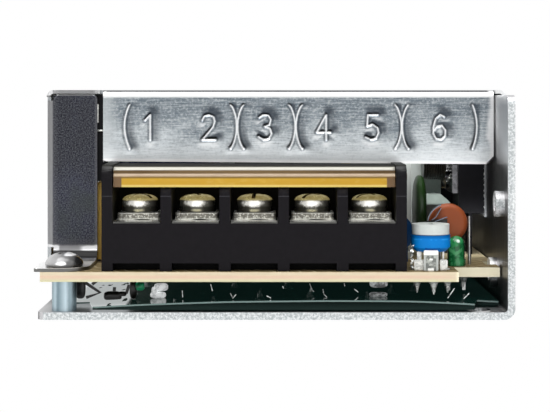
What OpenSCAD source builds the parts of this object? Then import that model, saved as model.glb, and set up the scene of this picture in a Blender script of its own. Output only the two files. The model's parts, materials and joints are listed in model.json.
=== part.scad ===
// Switching power supply in a perforated sheet metal case, terminal end at -Y

/* [Case] */
// Overall width, from the cover's side to the lip on the right wall
case_w = 78.1; // [77:0.1:90]
// Overall length, front to back
case_l = 110; // [108:1:130]
// Overall height
case_h = 37; // [36.5:0.5:42]
// Depth of the open terminal bay in front of the cover
bay_depth = 15; // [14.8:0.1:17]
// Thickness of the base sheet
base_t = 1.2; // [1:0.1:1.5]
// Outside radius of the base's long bend
base_bend_r = 1.8; // [1.7:0.1:2.2]
// Corner radius of the base sheet
base_corner_r = 1.6; // [1:0.1:3]

/* [Cover] */
// Thickness of the cover sheet
cover_t = 0.6; // [0.5:0.05:0.7]
// Outside radius of the cover's bends
cover_bend_r = 1.2; // [1:0.1:1.6]
// Height of the front flap
flap_h = 12.6; // [10:0.1:13]
// Width of the strip left of the flap
strip_w = 8.6; // [8:0.1:9]
// Gap between the strip and the flap
strip_gap = 1; // [0.6:0.1:1.4]
// Inside radius of the bend from the strip to the foot
foot_bend_r = 2.4; // [1.5:0.1:2.8]
// Width of the foot
foot_w = 7.6; // [7.2:0.1:8.2]
// Depth of the lip over the right wall
lip_h = 7; // [6:0.5:10]
// Bottom edge of the cover's side, above the base
side_edge_z = 6.3; // [5:0.1:7]
// Diameter of a vent hole
vent_d = 4; // [3:0.1:4.6]
// Distance between neighbouring vent holes
vent_pitch = 6.4; // [6:0.1:8]
// Plain margin round each field of vent holes
vent_margin = 4.5; // [4:0.5:8]

/* [Board] */
// Thickness of the circuit board
board_t = 1.6; // [1.4:0.1:1.8]
// Height of the standoffs above the base sheet
standoff_h = 4.9; // [4.6:0.1:6]
// Diameter of a standoff
standoff_d = 4; // [3.6:0.1:4.4]
// Width of the notch in the board's front right corner
notch_w = 7.6; // [6.5:0.1:8]
// Depth of that notch
notch_d = 7.2; // [6:0.1:7.4]
// Thickness of the insulating film
film_t = 0.3; // [0.2:0.05:0.4]
// Rise of the film's bow above its edges
film_rise = 1.5; // [1:0.1:2]

/* [Terminals] */
// Distance from the cover's side to the terminal block
block_left = 10.85; // [10.6:0.05:11.2]
// Distance from the terminal block to the lip
block_right = 18.05; // [17.8:0.05:19]
// Thickness of a barrier
barrier_t = 1.7; // [1.5:0.1:1.9]
// Height of the floor under the terminal plates, above the board
floor_h = 7.3; // [7:0.1:8]
// Height of an inner barrier above the board
inner_h = 13.4; // [13:0.1:14]
// Height of an outer barrier above the board
outer_h = 17.1; // [17:0.1:17.5]
// Depth of the terminal block
block_depth = 13.6; // [13.4:0.1:13.8]
// How far a square clamp washer stands out beyond its screw's head
washer_rim = 0.4; // [0.2:0.05:0.6]
// Height of that head
head_h = 2.9; // [2.4:0.1:3]
// Diameter of a clamp screw's shank, as a share of its washer's side
shank_share = 0.5; // [0.45:0.01:0.52]
// Gap between a clamp washer and the barriers beside it
washer_gap = 0.5; // [0.4:0.05:0.7]
// Thickness of the clamp washer
washer_t = 1.2; // [1:0.1:1.3]
// Thickness of the terminal plate
plate_t = 0.7; // [0.5:0.1:0.8]
// Gap between a terminal plate and the barriers beside it
plate_gap = 0.15; // [0.1:0.05:0.3]
// Wall of the hinged terminal cover
hood_t = 0.9; // [0.7:0.1:1]
// Diameter of the terminal cover's hinge pins
hood_pin_d = 1.6; // [1.4:0.1:1.8]

/* [Components] */
// Diameter of the trimmer's rotor
rotor_d = 6.1; // [5.5:0.1:6.3]
// Diameter of the trimmer's body
trimmer_d = 6.4; // [6.3:0.1:6.6]
// Diameter of the status lamp
led_d = 2.9; // [2.6:0.1:3]
// Diameter of the bulk capacitor
bulk_d = 22; // [18:0.5:22.5]
// Height of the bulk capacitor
bulk_h = 25; // [20:0.5:26]
// Diameter of an output capacitor
output_cap_d = 10; // [8:0.5:10]
// Height of an output capacitor
output_cap_h = 20; // [16:0.5:24]
// Width of the transformer's core
core_w = 28; // [26:0.5:29]
// Height of the transformer above its pins
core_h = 22; // [20:0.5:24]
// Length of the line filter capacitor
x_cap_l = 18; // [15:0.5:18]
// Height of the line filter capacitor
x_cap_h = 13; // [11:0.5:15]

/* [Mounting] */
// Diameter of the screw holes in the base
base_hole_d = 4; // [3.4:0.1:4.4]
// Distance of those holes from the base's ends
base_hole_inset = 3.8; // [3.5:0.1:4.5]
// Diameter of the tapped holes in the right wall
side_hole_d = 2.5; // [2.5:0.1:3.2]
// Height of those holes above the base's underside
side_hole_z = 18.3; // [15:0.1:22]
// Distance of those holes from the wall's ends
side_hole_inset = 5.5; // [4:0.1:8]

/* [Hidden] */
$fn = 32;
eps = 0.01;
fit = 0.1;
poles = 5;
left_x = -case_w / 2;
lip_x = case_w / 2;
front_y = -case_l / 2;
rear_y = case_l / 2;
wall_x = lip_x - cover_t - fit;
wall_in = wall_x - base_t;
base_x = left_x + 0.55;
base_rear = rear_y - cover_t - fit;
wall_top = case_h - cover_t - 0.3;
bay_y = front_y + bay_depth;
cover_in = case_h - cover_t;
board_z = base_t + standoff_h;
board_top = board_z + board_t;
board_x0 = left_x + 1.05;
board_x1 = wall_in - 0.3;
board_rear = rear_y - cover_t - 0.9;
screw_x = left_x + 4.55;
screw_y = front_y + 3.2;
side_post_x = wall_in - 4.3;
side_post_y = rear_y - 13.5;
boss_l = 1.4;
boss_y = front_y + 14.4;
block_w = case_w - block_left - block_right;
block_x = left_x + block_left;
pitch = (block_w - barrier_t) / poles;
washer_w = pitch - barrier_t - 2 * washer_gap;
plate_w = pitch - barrier_t - 2 * plate_gap;
head_d = washer_w - 2 * washer_rim;
shank_d = washer_w * shank_share;
block_y = front_y + 0.8;
block_rear = block_y + block_depth;
clamp_y = front_y + 8.5;
floor_z = board_top + floor_h;
plate_z = floor_z + plate_t;
washer_top = plate_z + washer_t;
back_wall_t = 1.2;
tab_y = block_rear - back_wall_t - 1;
pivot_y = front_y + 12;
pivot_z = board_top + outer_h - 2.4;
hood_z = board_top + inner_h + 0.3;
hood_top = board_top + outer_h - 0.15;
hood_x0 = block_x + barrier_t + 0.15;
hood_x1 = block_x + block_w - barrier_t - 0.15;
trimmer_x = block_x + block_w + 4.1;
trimmer_y = front_y + 4;
trimmer_z = board_top + 3.05;
lamp_x = trimmer_x + 4.8;
lamp_y = front_y + 9.6;
lip_screw_z = case_h - lip_h / 2 - 0.2;
lip_screw_y = [bay_y + 8, rear_y - 12];
flap_x0 = left_x + strip_w + strip_gap;
flap_x1 = wall_in - 0.25;
posts = [[screw_x, screw_y], [screw_x, side_post_y], [side_post_x, side_post_y]];
// Width and depth of the slots for the terminal plates' tabs
tab_slot = [4.2, 1.1];
// Lead positions: x, and d back from the front edge
lead_holes = [[trimmer_x - 2.2, 4], [trimmer_x + 0.3, 1.8], [trimmer_x + 2.75, 4],
  [lamp_x - 1.27, 9.6], [lamp_x + 1.27, 9.6]];
screw_turn = [20, 75, 110, 55, 160];
pad_t = 0.3;
pack_t = 4.5;
coil_z = 16.6;
choke_d = 34.5;
core_d = 67;
core_z = 2;
limb_w = 8;

// Where the inner pieces stand across the board; what width is left over is shared out between them
filter_x = board_x0 + 7.05;
filter_w = 8.5;
output_x = trimmer_x - 6.6;
front_row = output_x - output_cap_d / 2 - filter_x - filter_w - 5.4;
fuse_x = filter_x + filter_w + 2.7 + 0.17 * (front_row - 21.2);
choke_x = output_x - output_cap_d / 2 - 19.6 - 0.05 * (front_row - 21.2);
inrush_x = fuse_x + 7.2 + 0.07 * (front_row - 17);
safety_x = inrush_x + 8.5 + 0.04 * (front_row - 17);
bulk_x = board_x0 + 5 + bulk_d / 2;
package_x = wall_in - pad_t - pack_t;
core_x = bulk_x + bulk_d / 2 + core_w / 2 + 0.2 * (package_x - 1.8 - bulk_x - bulk_d / 2 - core_w);

function bay_x(i) = block_x + barrier_t / 2 + (i - 0.5) * pitch;

// Places its children on the board, x across and d back from the front edge
module on_board(x, d) translate([x, front_y + d, board_top]) children();

// Box given by its low and high corners
module block(low, high) translate(low) cube(high - low);

// Extrudes a profile drawn as X and Z, from y0 back to y1
module along_y(y0, y1) translate([0, y1, 0]) rotate([90, 0, 0]) linear_extrude(y1 - y0) children();

// Extrudes a profile drawn as Y and Z, from x0 across to x1
module along_x(x0, x1) translate([x0, 0, 0]) rotate([90, 0, 90]) linear_extrude(x1 - x0) children();

// Quarter of a bent sheet, in the quadrant sx, sy of its centre
module bend(cx, cy, r_out, t, sx, sy) translate([cx, cy]) intersection() {
  difference() {
    circle(r_out);
    circle(r_out - t);
  }
  translate([sx < 0 ? -r_out : 0, sy < 0 ? -r_out : 0]) square(r_out);
}

// What is left outside a rounded corner of radius r at the origin, in the quadrant sx, sy
module corner(r, sx, sy) difference() {
  translate([sx < 0 ? -eps : -r, sy < 0 ? -eps : -r]) square(r + eps);
  translate([sx < 0 ? r : -r, sy < 0 ? r : -r]) circle(r);
}

// Staggered round holes that fill a field w wide and l long, centred
module vents(w, l) {
  row = vent_pitch * sqrt(3) / 2;
  rows = floor((l - vent_d) / row) + 1;
  cols = floor((w - vent_d - vent_pitch / 2) / vent_pitch) + 1;
  for (j = [0:rows - 1], i = [0:cols - 1])
    translate([(i - (cols - 1) / 2 + (j % 2 == 0 ? -0.25 : 0.25)) * vent_pitch, (j - (rows - 1) / 2) * row])
      circle(d = vent_d, $fn = 24);
}

module hollow_cylinder(h, r, bore) difference() {
  cylinder(h = h, r = r);
  translate([0, 0, -eps]) cylinder(h = h + 2 * eps, r = bore);
}

// Pan head screw, underside of the head at the origin
module pan_screw(d, h, shank, l) {
  difference() {
    rotate_extrude() intersection() {
      translate([0, -h * 0.9]) circle(h * 1.9, $fn = 64);
      square([d / 2, h]);
    }
    for (a = [0, 90]) rotate(a) translate([-d * 0.3, -0.45, h * 0.55]) cube([d * 0.6, 0.9, h]);
  }
  translate([0, 0, -l]) cylinder(h = l + eps, d = shank);
}

module base_chassis() color("gainsboro") difference() {
  union() {
    along_y(front_y, base_rear) {
      translate([base_x, 0]) square([wall_x - base_bend_r - base_x, base_t]);
      translate([wall_in, base_bend_r]) square([base_t, wall_top - base_bend_r]);
      bend(wall_x - base_bend_r, base_bend_r, base_bend_r, base_t, 1, -1);
    }
    for (y = [front_y + side_hole_inset, base_rear - side_hole_inset])
      translate([wall_in - boss_l, y, side_hole_z]) rotate([0, 90, 0]) cylinder(h = boss_l + eps, d = 4.2);
    translate([wall_in - 1.2, boss_y, board_z]) rotate([0, 90, 0]) cylinder(h = 1.2 + eps, d = 5.1);
  }
  translate([base_x, front_y, -1]) linear_extrude(base_t + 2) corner(base_corner_r, -1, -1);
  translate([base_x, base_rear, -1]) linear_extrude(base_t + 2) corner(base_corner_r, -1, 1);
  along_x(wall_in - 1, wall_x + 1) {
    translate([front_y, wall_top]) corner(base_corner_r, -1, 1);
    translate([base_rear, wall_top]) corner(base_corner_r, 1, 1);
  }
  for (y = [front_y + base_hole_inset, base_rear - base_hole_inset])
    translate([side_post_x, y, -1]) cylinder(h = base_t + 2, d = base_hole_d);
  for (y = [front_y + side_hole_inset, base_rear - side_hole_inset])
    translate([wall_in - 3, y, side_hole_z]) rotate([0, 90, 0]) cylinder(h = base_t + 5, d = side_hole_d);
  translate([wall_in - 3, boss_y, board_z]) rotate([0, 90, 0]) cylinder(h = base_t + 5, d = 2.6);
  for (y = lip_screw_y) translate([wall_in - 1, y, lip_screw_z]) rotate([0, 90, 0]) cylinder(h = 4, d = 2.6);
  translate([screw_x, screw_y, -1]) cylinder(h = base_t + 2, d = 2.4);
  translate([screw_x, side_post_y, -1]) cylinder(h = base_t + 2, d = 2.4);
  translate([side_post_x, side_post_y, -1]) cylinder(h = base_t + 2, d = 2.4);
}

module cover_top() {
  x0 = left_x + cover_bend_r;
  x1 = lip_x - cover_bend_r;
  y0 = bay_y + cover_bend_r;
  y1 = rear_y - cover_bend_r;
  translate([0, 0, cover_in]) linear_extrude(cover_t) difference() {
    union() {
      translate([x0, y0]) square([x1 - x0, y1 - y0]);
      translate([x0, bay_y]) square([flap_x0 - 0.6 - x0, cover_bend_r + eps]);
      translate([flap_x1 + 0.2, bay_y]) square([x1 - flap_x1 - 0.2, cover_bend_r + eps]);
    }
    translate([(x0 + x1) / 2, (y0 + y1) / 2]) vents(x1 - x0 - 2 * vent_margin, y1 - y0 - 2 * vent_margin);
  }
  along_y(bay_y, rear_y - cover_t) {
    bend(x0, case_h - cover_bend_r, cover_bend_r, cover_t, -1, 1);
    bend(x1, case_h - cover_bend_r, cover_bend_r, cover_t, 1, 1);
  }
  along_y(bay_y, rear_y - cover_t)
    translate([lip_x - cover_t, case_h - lip_h]) square([cover_t, lip_h - cover_bend_r]);
}

module cover_side() {
  z1 = case_h - cover_bend_r;
  y0 = bay_y + cover_bend_r;
  y1 = rear_y - cover_t;
  along_x(left_x, left_x + cover_t) difference() {
    translate([y0, side_edge_z]) square([y1 - y0, z1 - side_edge_z]);
    translate([(y0 + y1) / 2, (side_edge_z + z1) / 2]) rotate(90)
      vents(z1 - side_edge_z - vent_margin, y1 - y0 - 2 * vent_margin);
  }
}

module cover_rear() {
  x0 = left_x;
  x1 = wall_x;
  z1 = case_h - cover_bend_r;
  along_y(rear_y - cover_t, rear_y) difference() {
    translate([x0, 0.3]) square([x1 - x0, z1 - 0.3]);
    translate([0, (board_top + z1) / 2]) vents(x1 - x0 - 2 * vent_margin, z1 - board_top - vent_margin);
    translate([x0, 0.3]) corner(base_corner_r, -1, -1);
  }
  along_x(left_x + cover_bend_r, lip_x - cover_bend_r)
    bend(rear_y - cover_bend_r, z1, cover_bend_r, cover_t, 1, 1);
}

module cover_front() {
  r = cover_bend_r;
  strip_x1 = flap_x0 - strip_gap;
  strip_top = cover_in - 0.2;
  strip_bottom = board_top + cover_t + foot_bend_r;
  along_x(flap_x0, flap_x1) bend(bay_y + r, case_h - r, r, cover_t, -1, 1);
  along_y(bay_y, bay_y + cover_t) difference() {
    translate([flap_x0, case_h - flap_h]) square([flap_x1 - flap_x0, flap_h - r]);
    translate([flap_x1, case_h - flap_h]) corner(1.4, 1, -1);
    translate([flap_x0, case_h - flap_h]) corner(0.6, -1, -1);
  }
  translate([0, 0, side_edge_z + 4]) linear_extrude(strip_top - side_edge_z - 5)
    bend(left_x + r, bay_y + r, r, cover_t, -1, -1);
  along_y(bay_y, bay_y + cover_t) difference() {
    translate([left_x + r, strip_bottom]) square([strip_x1 - left_x - r, strip_top - strip_bottom]);
    translate([strip_x1, strip_top]) corner(0.8, 1, 1);
    translate([left_x + r, strip_top]) corner(0.8, -1, 1);
  }
  along_x(left_x + r, strip_x1)
    bend(bay_y - foot_bend_r, strip_bottom, foot_bend_r + cover_t, cover_t, 1, -1);
  translate([0, 0, board_top]) linear_extrude(cover_t) difference() {
    translate([left_x, front_y]) square([strip_x1 - left_x, bay_depth - foot_bend_r]);
    translate([strip_x1, front_y]) corner(strip_x1 - left_x - foot_w + 3.5, 1, -1);
    translate([left_x, front_y]) corner(0.6, -1, -1);
    translate([left_x - 1, bay_y - foot_bend_r - 2]) square([cover_bend_r + 1, 4]);
    translate([screw_x, screw_y]) circle(d = 3.4);
  }
}

module mesh_cover() color("silver") difference() {
  union() {
    cover_top();
    cover_side();
    cover_rear();
    cover_front();
  }
  for (y = lip_screw_y)
    translate([lip_x - cover_t - 1, y, lip_screw_z]) rotate([0, 90, 0]) cylinder(h = 3, d = 5);
}

module insulating_film() color("darkgreen") {
  half = (board_x1 - 1 - board_x0) / 2;
  mid = (board_x1 - 1 + board_x0) / 2;
  r = (half * half + film_rise * film_rise) / (2 * film_rise);
  difference() {
    intersection() {
      translate([mid, front_y + 0.7, base_t + 0.1 + film_rise + film_t - r]) rotate([-90, 0, 0])
        hollow_cylinder(board_rear - front_y - 0.7, r, r - film_t, $fn = 720);
      block([board_x0 + 0.2, front_y, base_t], [board_x1 - 1.2, rear_y, board_z]);
    }
    for (p = posts) translate([p[0], p[1], 0]) cylinder(h = 8, d = standoff_d + 1.4);
    block([side_post_x - 3.4, front_y - 1, 0], [wall_x, front_y + notch_d, board_z]);
    block([side_post_x - 3.4, base_rear - 8.5, 0], [wall_x, rear_y, board_z]);
  }
}

module circuit_board() color("tan") difference() {
  block([board_x0, front_y, board_z], [board_x1, board_rear, board_top]);
  block([board_x1 - notch_w, front_y - 1, 0], [board_x1 + 1, front_y + notch_d, board_top + 1]);
  translate([wall_in, boss_y, board_z]) rotate([0, 90, 0]) cylinder(h = 4, d = 6.1, center = true);
  for (p = posts) translate([p[0], p[1], 0]) cylinder(h = 12, d = 3.2);
  for (i = [1:poles])
    translate([bay_x(i) - tab_slot[0] / 2, tab_y - 0.1, 0]) cube([tab_slot[0], tab_slot[1], 12]);
  for (p = lead_holes) translate([p[0], front_y + p[1], 0]) cylinder(h = 12, d = 1.1, $fn = 16);
}

module standoffs() color("lightsteelblue") for (p = posts)
  translate([p[0], p[1], base_t]) hollow_cylinder(standoff_h, standoff_d / 2, 1.25);

module board_screws() color("silver") for (i = [1, 2])
  translate([posts[i][0], posts[i][1], board_top]) pan_screw(5.6, 2.2, 2.4, 6);

module cover_screws() color("silver") {
  translate([screw_x, screw_y, board_top + cover_t]) rotate(35) pan_screw(6.2, 2.4, 2.4, 6.8);
  for (y = lip_screw_y) translate([lip_x - cover_t, y, lip_screw_z]) rotate([0, 90, 0]) {
    difference() {
      cylinder(h = cover_t, d = 4.8);
      for (a = [0, 90]) rotate(a) translate([-1.3, -0.3, cover_t - 0.35]) cube([2.6, 0.6, 1]);
    }
    translate([0, 0, -2]) cylinder(h = 2 + eps, d = 2.4);
  }
}

module barrier(x, h, front_r) along_x(x, x + barrier_t) difference() {
  translate([block_y, board_top]) square([block_depth, h]);
  translate([block_y, board_top + h]) corner(front_r, -1, 1);
  translate([block_rear, board_top + h]) corner(1, 1, 1);
}

module terminal_block() color([0.13, 0.13, 0.14]) difference() {
  union() {
    block([block_x, block_y, board_top], [block_x + block_w, block_rear, floor_z]);
    block([block_x, block_rear - back_wall_t, floor_z - eps],
      [block_x + block_w, block_rear, board_top + inner_h - 0.4]);
    for (i = [0, poles]) barrier(block_x + i * pitch, outer_h, 2.2);
    for (i = [1:poles - 1]) barrier(block_x + i * pitch, inner_h, 1.4);
  }
  for (i = [1:poles]) {
    block([bay_x(i) - pitch / 2 + 0.95, block_y - 1, 0],
      [bay_x(i) + pitch / 2 - 0.95, block_y + 3, board_top + 1.3]);
    translate([bay_x(i), clamp_y, board_top + 1.6]) cylinder(h = 10, d = 5);
    translate([bay_x(i) - tab_slot[0] / 2, tab_y - 0.1, 0]) cube([tab_slot[0], tab_slot[1], floor_z + eps]);
  }
  translate([block_x - 1, pivot_y, pivot_z]) rotate([0, 90, 0])
    cylinder(h = block_w + 2, d = hood_pin_d + 2 * fit);
}

module terminal_plates() color("lightgray") for (i = [1:poles]) translate([bay_x(i), 0, 0]) difference() {
  union() {
    block([-plate_w / 2, block_y + 0.1, floor_z], [plate_w / 2, tab_y + 0.9, plate_z]);
    translate([0, clamp_y, floor_z - 3]) cylinder(h = 3 + eps, d = 4.8);
    block([-2, tab_y, board_z - 1.3], [2, tab_y + 0.9, floor_z + eps]);
  }
  translate([0, clamp_y, floor_z - 4]) cylinder(h = 8, d = shank_d + 2 * fit);
}

module terminal_cover() color([0.82, 0.6, 0.2]) {
  skirt_y = front_y + 1.4;
  step = 0.35;
  inner_y = skirt_y + hood_t;
  along_x(hood_x0, hood_x1) polygon([[skirt_y, hood_z], [skirt_y, hood_z + 1.65],
    [skirt_y + step, hood_z + 1.65 + step], [skirt_y + step, hood_top - 0.65],
    [skirt_y + step + 0.65, hood_top], [pivot_y + 0.6, hood_top], [pivot_y + 0.6, hood_top - hood_t],
    [inner_y + step + 0.4, hood_top - hood_t], [inner_y + step, hood_top - hood_t - 0.4],
    [inner_y + step, hood_z + 1.6], [inner_y, hood_z + 1.25], [inner_y, hood_z]]);
  for (x = [hood_x0, hood_x1 - hood_t]) {
    block([x, skirt_y + 0.5, hood_z + 0.3], [x + hood_t, pivot_y, hood_top - 0.3]);
    translate([x, pivot_y, pivot_z]) rotate([0, 90, 0]) cylinder(h = hood_t, d = 3);
  }
  for (x = [block_x - 0.9, hood_x1 - eps])
    translate([x, pivot_y, pivot_z]) rotate([0, 90, 0]) cylinder(h = barrier_t + 1.05, d = hood_pin_d);
}

module clamp_washer(i) color("gold") translate([bay_x(i), clamp_y, plate_z]) difference() {
  groove = 0.06 * washer_w;
  edge = 0.09 * washer_w;
  translate([-washer_w / 2, -washer_w / 2, 0]) cube([washer_w, washer_w, washer_t]);
  translate([0, 0, -1]) cylinder(h = 4, d = shank_d * 1.15);
  for (k = [-3:3])
    translate([k * 2.2 * groove, 0, 0]) rotate([0, 45, 0]) cube([groove, 10, groove], center = true);
  for (s = [-1, 1])
    translate([0, s * washer_w / 2, washer_t]) rotate([45, 0, 0]) cube([10, edge, edge], center = true);
}

module clamp_screw(i) color("lightgray") translate([bay_x(i), clamp_y, washer_top])
  rotate(screw_turn[i - 1]) pan_screw(head_d, head_h, shank_d, 7);

module trimmer_body() color([0.05, 0.4, 0.85]) translate([trimmer_x, trimmer_y, trimmer_z]) difference() {
  union() {
    translate([0, 0, 0.7]) cylinder(h = 1.95, d = trimmer_d);
    rotate_extrude() polygon([[0, 0], [trimmer_d / 2 - 0.7, 0], [trimmer_d / 2, 0.7 + eps], [0, 0.7 + eps]]);
  }
  translate([-1.15, -5, -1]) cube([2.5, 2.55, 1.7]);
  translate([0, 0, -1]) cylinder(h = 5, d = 2.2);
}

module trimmer_rotor() color("lightgray") translate([trimmer_x, trimmer_y, trimmer_z + 2.75]) difference() {
  union() {
    cylinder(h = 1.65, d = rotor_d);
    translate([0, 0, -2.2]) cylinder(h = 2.2 + eps, d = 2);
  }
  translate([-1.9, -0.4, 0.9]) cube([3.8, 0.8, 1]);
  translate([-0.4, -1.9, 0.9]) cube([0.8, 3.8, 1]);
}

module trimmer_legs() color("silver") translate([trimmer_x, front_y, 0]) {
  block([-1, 1.15, board_top], [1.3, 1.5, trimmer_z + 0.65]);
  block([-1, 1.15, trimmer_z - 0.35], [1.3, 3, trimmer_z]);
  for (x = [-2.9, 1.35]) {
    block([x, 2.4, board_top], [x + 1.55, 2.75, board_top + 1.7]);
    block([x + 0.4, 2.4, board_top + 1.7 - eps], [x + 1.1, 2.75, trimmer_z]);
  }
  for (p = [[-2.2, 4], [0.3, 1.8], [2.75, 4]])
    translate([p[0], p[1], board_z - 2.2]) cylinder(h = board_t + 2.2 + 0.2, d = 0.8, $fn = 16);
  block([-2.6, 2.7, board_top], [-1.8, 4.2, board_top + 0.25]);
  block([2.35, 2.7, board_top], [3.1, 4.2, board_top + 0.25]);
  block([-0.1, 1.4, board_top], [0.7, 2.2, board_top + 0.25]);
}

module status_lamp() color([0.1, 0.7, 0.25]) translate([lamp_x, lamp_y, board_top]) {
  translate([0, 0, 0.2]) cylinder(h = 0.9, d = led_d + 0.3);
  cylinder(h = 4.4 - led_d / 2 + 0.6, d = led_d);
  translate([0, 0, 4.4 - led_d / 2 + 0.6]) sphere(d = led_d);
}

module lamp_leads() color("silver") for (s = [-1, 1])
  translate([lamp_x + s * 1.27 - 0.25, lamp_y - 0.25, board_z - 2.4]) cube([0.5, 0.5, board_t + 2.4]);

module disc_capacitor() color([0.75, 0.33, 0.13]) translate([trimmer_x + 3.7, front_y + 12, board_top + 7.4])
  rotate([90, 0, 0]) rotate_extrude() {
    square([2.4, 0.9]);
    translate([0, -0.9]) square([2.4, 0.9 + eps]);
    translate([2.4, 0]) intersection() {
      circle(0.9);
      translate([0, -1]) square([1, 2]);
    }
  }

module disc_capacitor_leads() color("silver") {
  on_board(trimmer_x + 2.4, 12) cylinder(h = 4.25, d = 0.5, $fn = 16);
  on_board(trimmer_x + 7.3, 12) cylinder(h = 8.1, d = 0.6, $fn = 16);
}

module film_capacitor() color([0.07, 0.2, 0.08]) on_board(trimmer_x - 0.9, 22) {
  along_x(0, 2.3) translate([5, 8]) scale([1, 1.25]) circle(5);
  for (y = [2.5, 7]) translate([0.9, y, 0]) cube([0.5, 0.5, 3]);
}

module line_filter_capacitor() color([0.85, 0.65, 0.1]) on_board(filter_x, 16.6) {
  translate([0, 0, 0.4]) cube([filter_w, x_cap_l, x_cap_h]);
  for (y = [0, x_cap_l - 1.2]) translate([1, y, 0]) cube([filter_w - 2, 1.2, 0.5]);
}

module fuse_tube() color("lightcyan") on_board(fuse_x, 17 + 4.7)
  translate([0, 0, 4]) rotate([-90, 0, 0]) cylinder(h = 10.6, d = 5);

module fuse_ends() color("silver") for (y = [0, 15.3]) on_board(fuse_x, 17 + y) {
  translate([0, 0, 4]) rotate([-90, 0, 0]) cylinder(h = 4.7, d = 5.4);
  translate([-0.4, 1.9, 0]) cube([0.8, 0.8, 1.6]);
}

module line_choke_core() color([0.2, 0.2, 0.21]) on_board(choke_x, 26) along_y(0, 5) difference() {
  translate([0, 1.5]) square([18, 16]);
  translate([4, 5.5]) square([10, 8]);
}

module line_choke_windings() color([0.72, 0.4, 0.16]) on_board(choke_x, 26) for (x = [0, 14]) difference() {
  block([x - 1.6, -1.8, 5.6], [x + 5.6, 6.8, 13.4]);
  block([x - fit / 2, -fit / 2, 0], [x + 4 + fit / 2, 5 + fit / 2, 20]);
}

module inrush_limiter() color([0.1, 0.12, 0.1]) on_board(inrush_x, 19) {
  translate([0, 0, 7]) rotate([-90, 0, 0]) cylinder(h = 4, d = 9);
  for (x = [-2.5, 2.1]) translate([x, 1.7, 0]) cube([0.5, 0.5, 4]);
}

module safety_capacitors() color([0.1, 0.35, 0.75]) for (p = [[safety_x, 18.4, 8], [output_x + 1.4, 15, 6.8]])
  on_board(p[0], p[1]) {
    translate([0, 0, p[2] / 2 + 1.6]) rotate([-90, 0, 0]) cylinder(h = 2.4, d = p[2]);
    for (s = [-2.5, 2]) translate([s, 1, 0]) cube([0.5, 0.5, 3.5]);
  }

module bridge_rectifier() color([0.15, 0.15, 0.16]) on_board(block_x + 11, 44) {
  difference() {
    translate([0, 0, 3]) cube([15, 3.6, 11]);
    translate([0, -1, 14]) rotate([0, 45, 0]) cube([3, 6, 3], center = false);
  }
  for (k = [0:3]) translate([1.6 + 3.7 * k, 1.5, 0]) cube([0.8, 0.6, 3 + eps]);
}

module bulk_capacitor() color([0.12, 0.13, 0.2]) on_board(bulk_x, bay_depth + 46) difference() {
  cylinder(h = bulk_h, d = bulk_d, $fn = 64);
  translate([0, 0, bulk_h - 0.5]) cylinder(h = 1, d = bulk_d - 3, $fn = 64);
  translate([0, 0, 2]) rotate_extrude($fn = 64) translate([bulk_d / 2 + 0.3, 0]) circle(0.9);
  for (a = [0, 60, 120])
    translate([0, 0, bulk_h - 0.5]) rotate(a) cube([bulk_d - 5, 0.5, 0.8], center = true);
}

module transformer_core() color([0.22, 0.22, 0.23]) on_board(core_x, core_d) along_y(-5.5, 5.5) difference() {
  translate([-core_w / 2, core_z]) square([core_w, core_h]);
  for (s = [-1, 1]) translate([s * (limb_w / 2 + 3) - 3, core_z + 4]) square([6, core_h - 8]);
}

module transformer_bobbin() color([0.1, 0.1, 0.1]) on_board(core_x, core_d) {
  for (s = [-1, 1]) {
    translate([-core_w / 2 + 1, s * 11 - 2.2, 0.6]) cube([core_w - 2, 4.4, 4]);
    for (k = [-2:2]) translate([k * 5 - 0.4, s * 11 - 0.4, 0]) cube([0.8, 0.8, 0.6 + eps]);
  }
  for (z = [core_z + 4 + fit, core_z + core_h - 4.8 - fit]) difference() {
    translate([-limb_w / 2 - 5.9, -10.4, z]) cube([limb_w + 11.8, 20.8, 0.8]);
    translate([-limb_w / 2 - fit, -5.6, z - 1]) cube([limb_w + 2 * fit, 11.2, 3]);
  }
  for (s = [-1, 1])
    translate([-limb_w / 2 - 5.9, s * 9.6 - 0.8, 4]) cube([limb_w + 11.8, 1.6, core_z + fit + eps]);
}

module transformer_winding() color([0.93, 0.78, 0.2]) on_board(core_x, core_d) difference() {
  translate([0, 0, core_z + 4.8 + fit])
    linear_extrude(core_h - 9.6 - 2 * fit) rounded_rect(limb_w + 11, 19.6, 3);
  translate([-limb_w / 2 - fit, -5.6, 0]) cube([limb_w + 2 * fit, 11.2, core_h + 4]);
}

// Rectangle w by l with corners of radius r, centred
module rounded_rect(w, l, r) {
  square([w, l - 2 * r], center = true);
  square([w - 2 * r, l], center = true);
  for (x = [-1, 1], y = [-1, 1]) translate([x * (w / 2 - r), y * (l / 2 - r)]) circle(r);
}

// Flat power package standing against the right wall, front edge at depth d
module power_package(d, z) on_board(package_x, d) {
  along_y(0, 10) difference() {
    translate([0, z]) square([pack_t, 15.4]);
    translate([-eps, z + 15.4 + eps]) corner(1.2, -1, 1);
    translate([-eps, z + 11]) square([1.6, 5]);
  }
  for (k = [-1:1]) translate([2, 5 + k * 2.54 - 0.4, 0]) cube([0.6, 0.8, z + eps]);
}

module output_rectifier() color([0.1, 0.1, 0.11]) power_package(27, 7.5);

module switching_transistor() color([0.1, 0.1, 0.11]) power_package(62, 5);

module insulator_pads() color("gray") {
  on_board(wall_in - pad_t, 26.4) translate([0, 0, 6.9]) cube([pad_t, 11.2, 16.6]);
  on_board(wall_in - pad_t, 61.4) translate([0, 0, 4.4]) cube([pad_t, 11.2, 16.6]);
}

module clamp_bars() color("silver") for (p = [[27, 7.5], [62, 5]]) on_board(package_x, p[0]) {
  translate([-1, 1.2, p[1] + 3.5]) cube([1, 13.6, 5]);
  translate([-1.8, 12.4, p[1] + 6]) rotate([0, 90, 0]) cylinder(h = 0.9, d = 4.4);
  translate([-eps, 12.4, p[1] + 6]) rotate([0, 90, 0]) cylinder(h = pack_t + pad_t + eps, d = 3);
}

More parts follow.
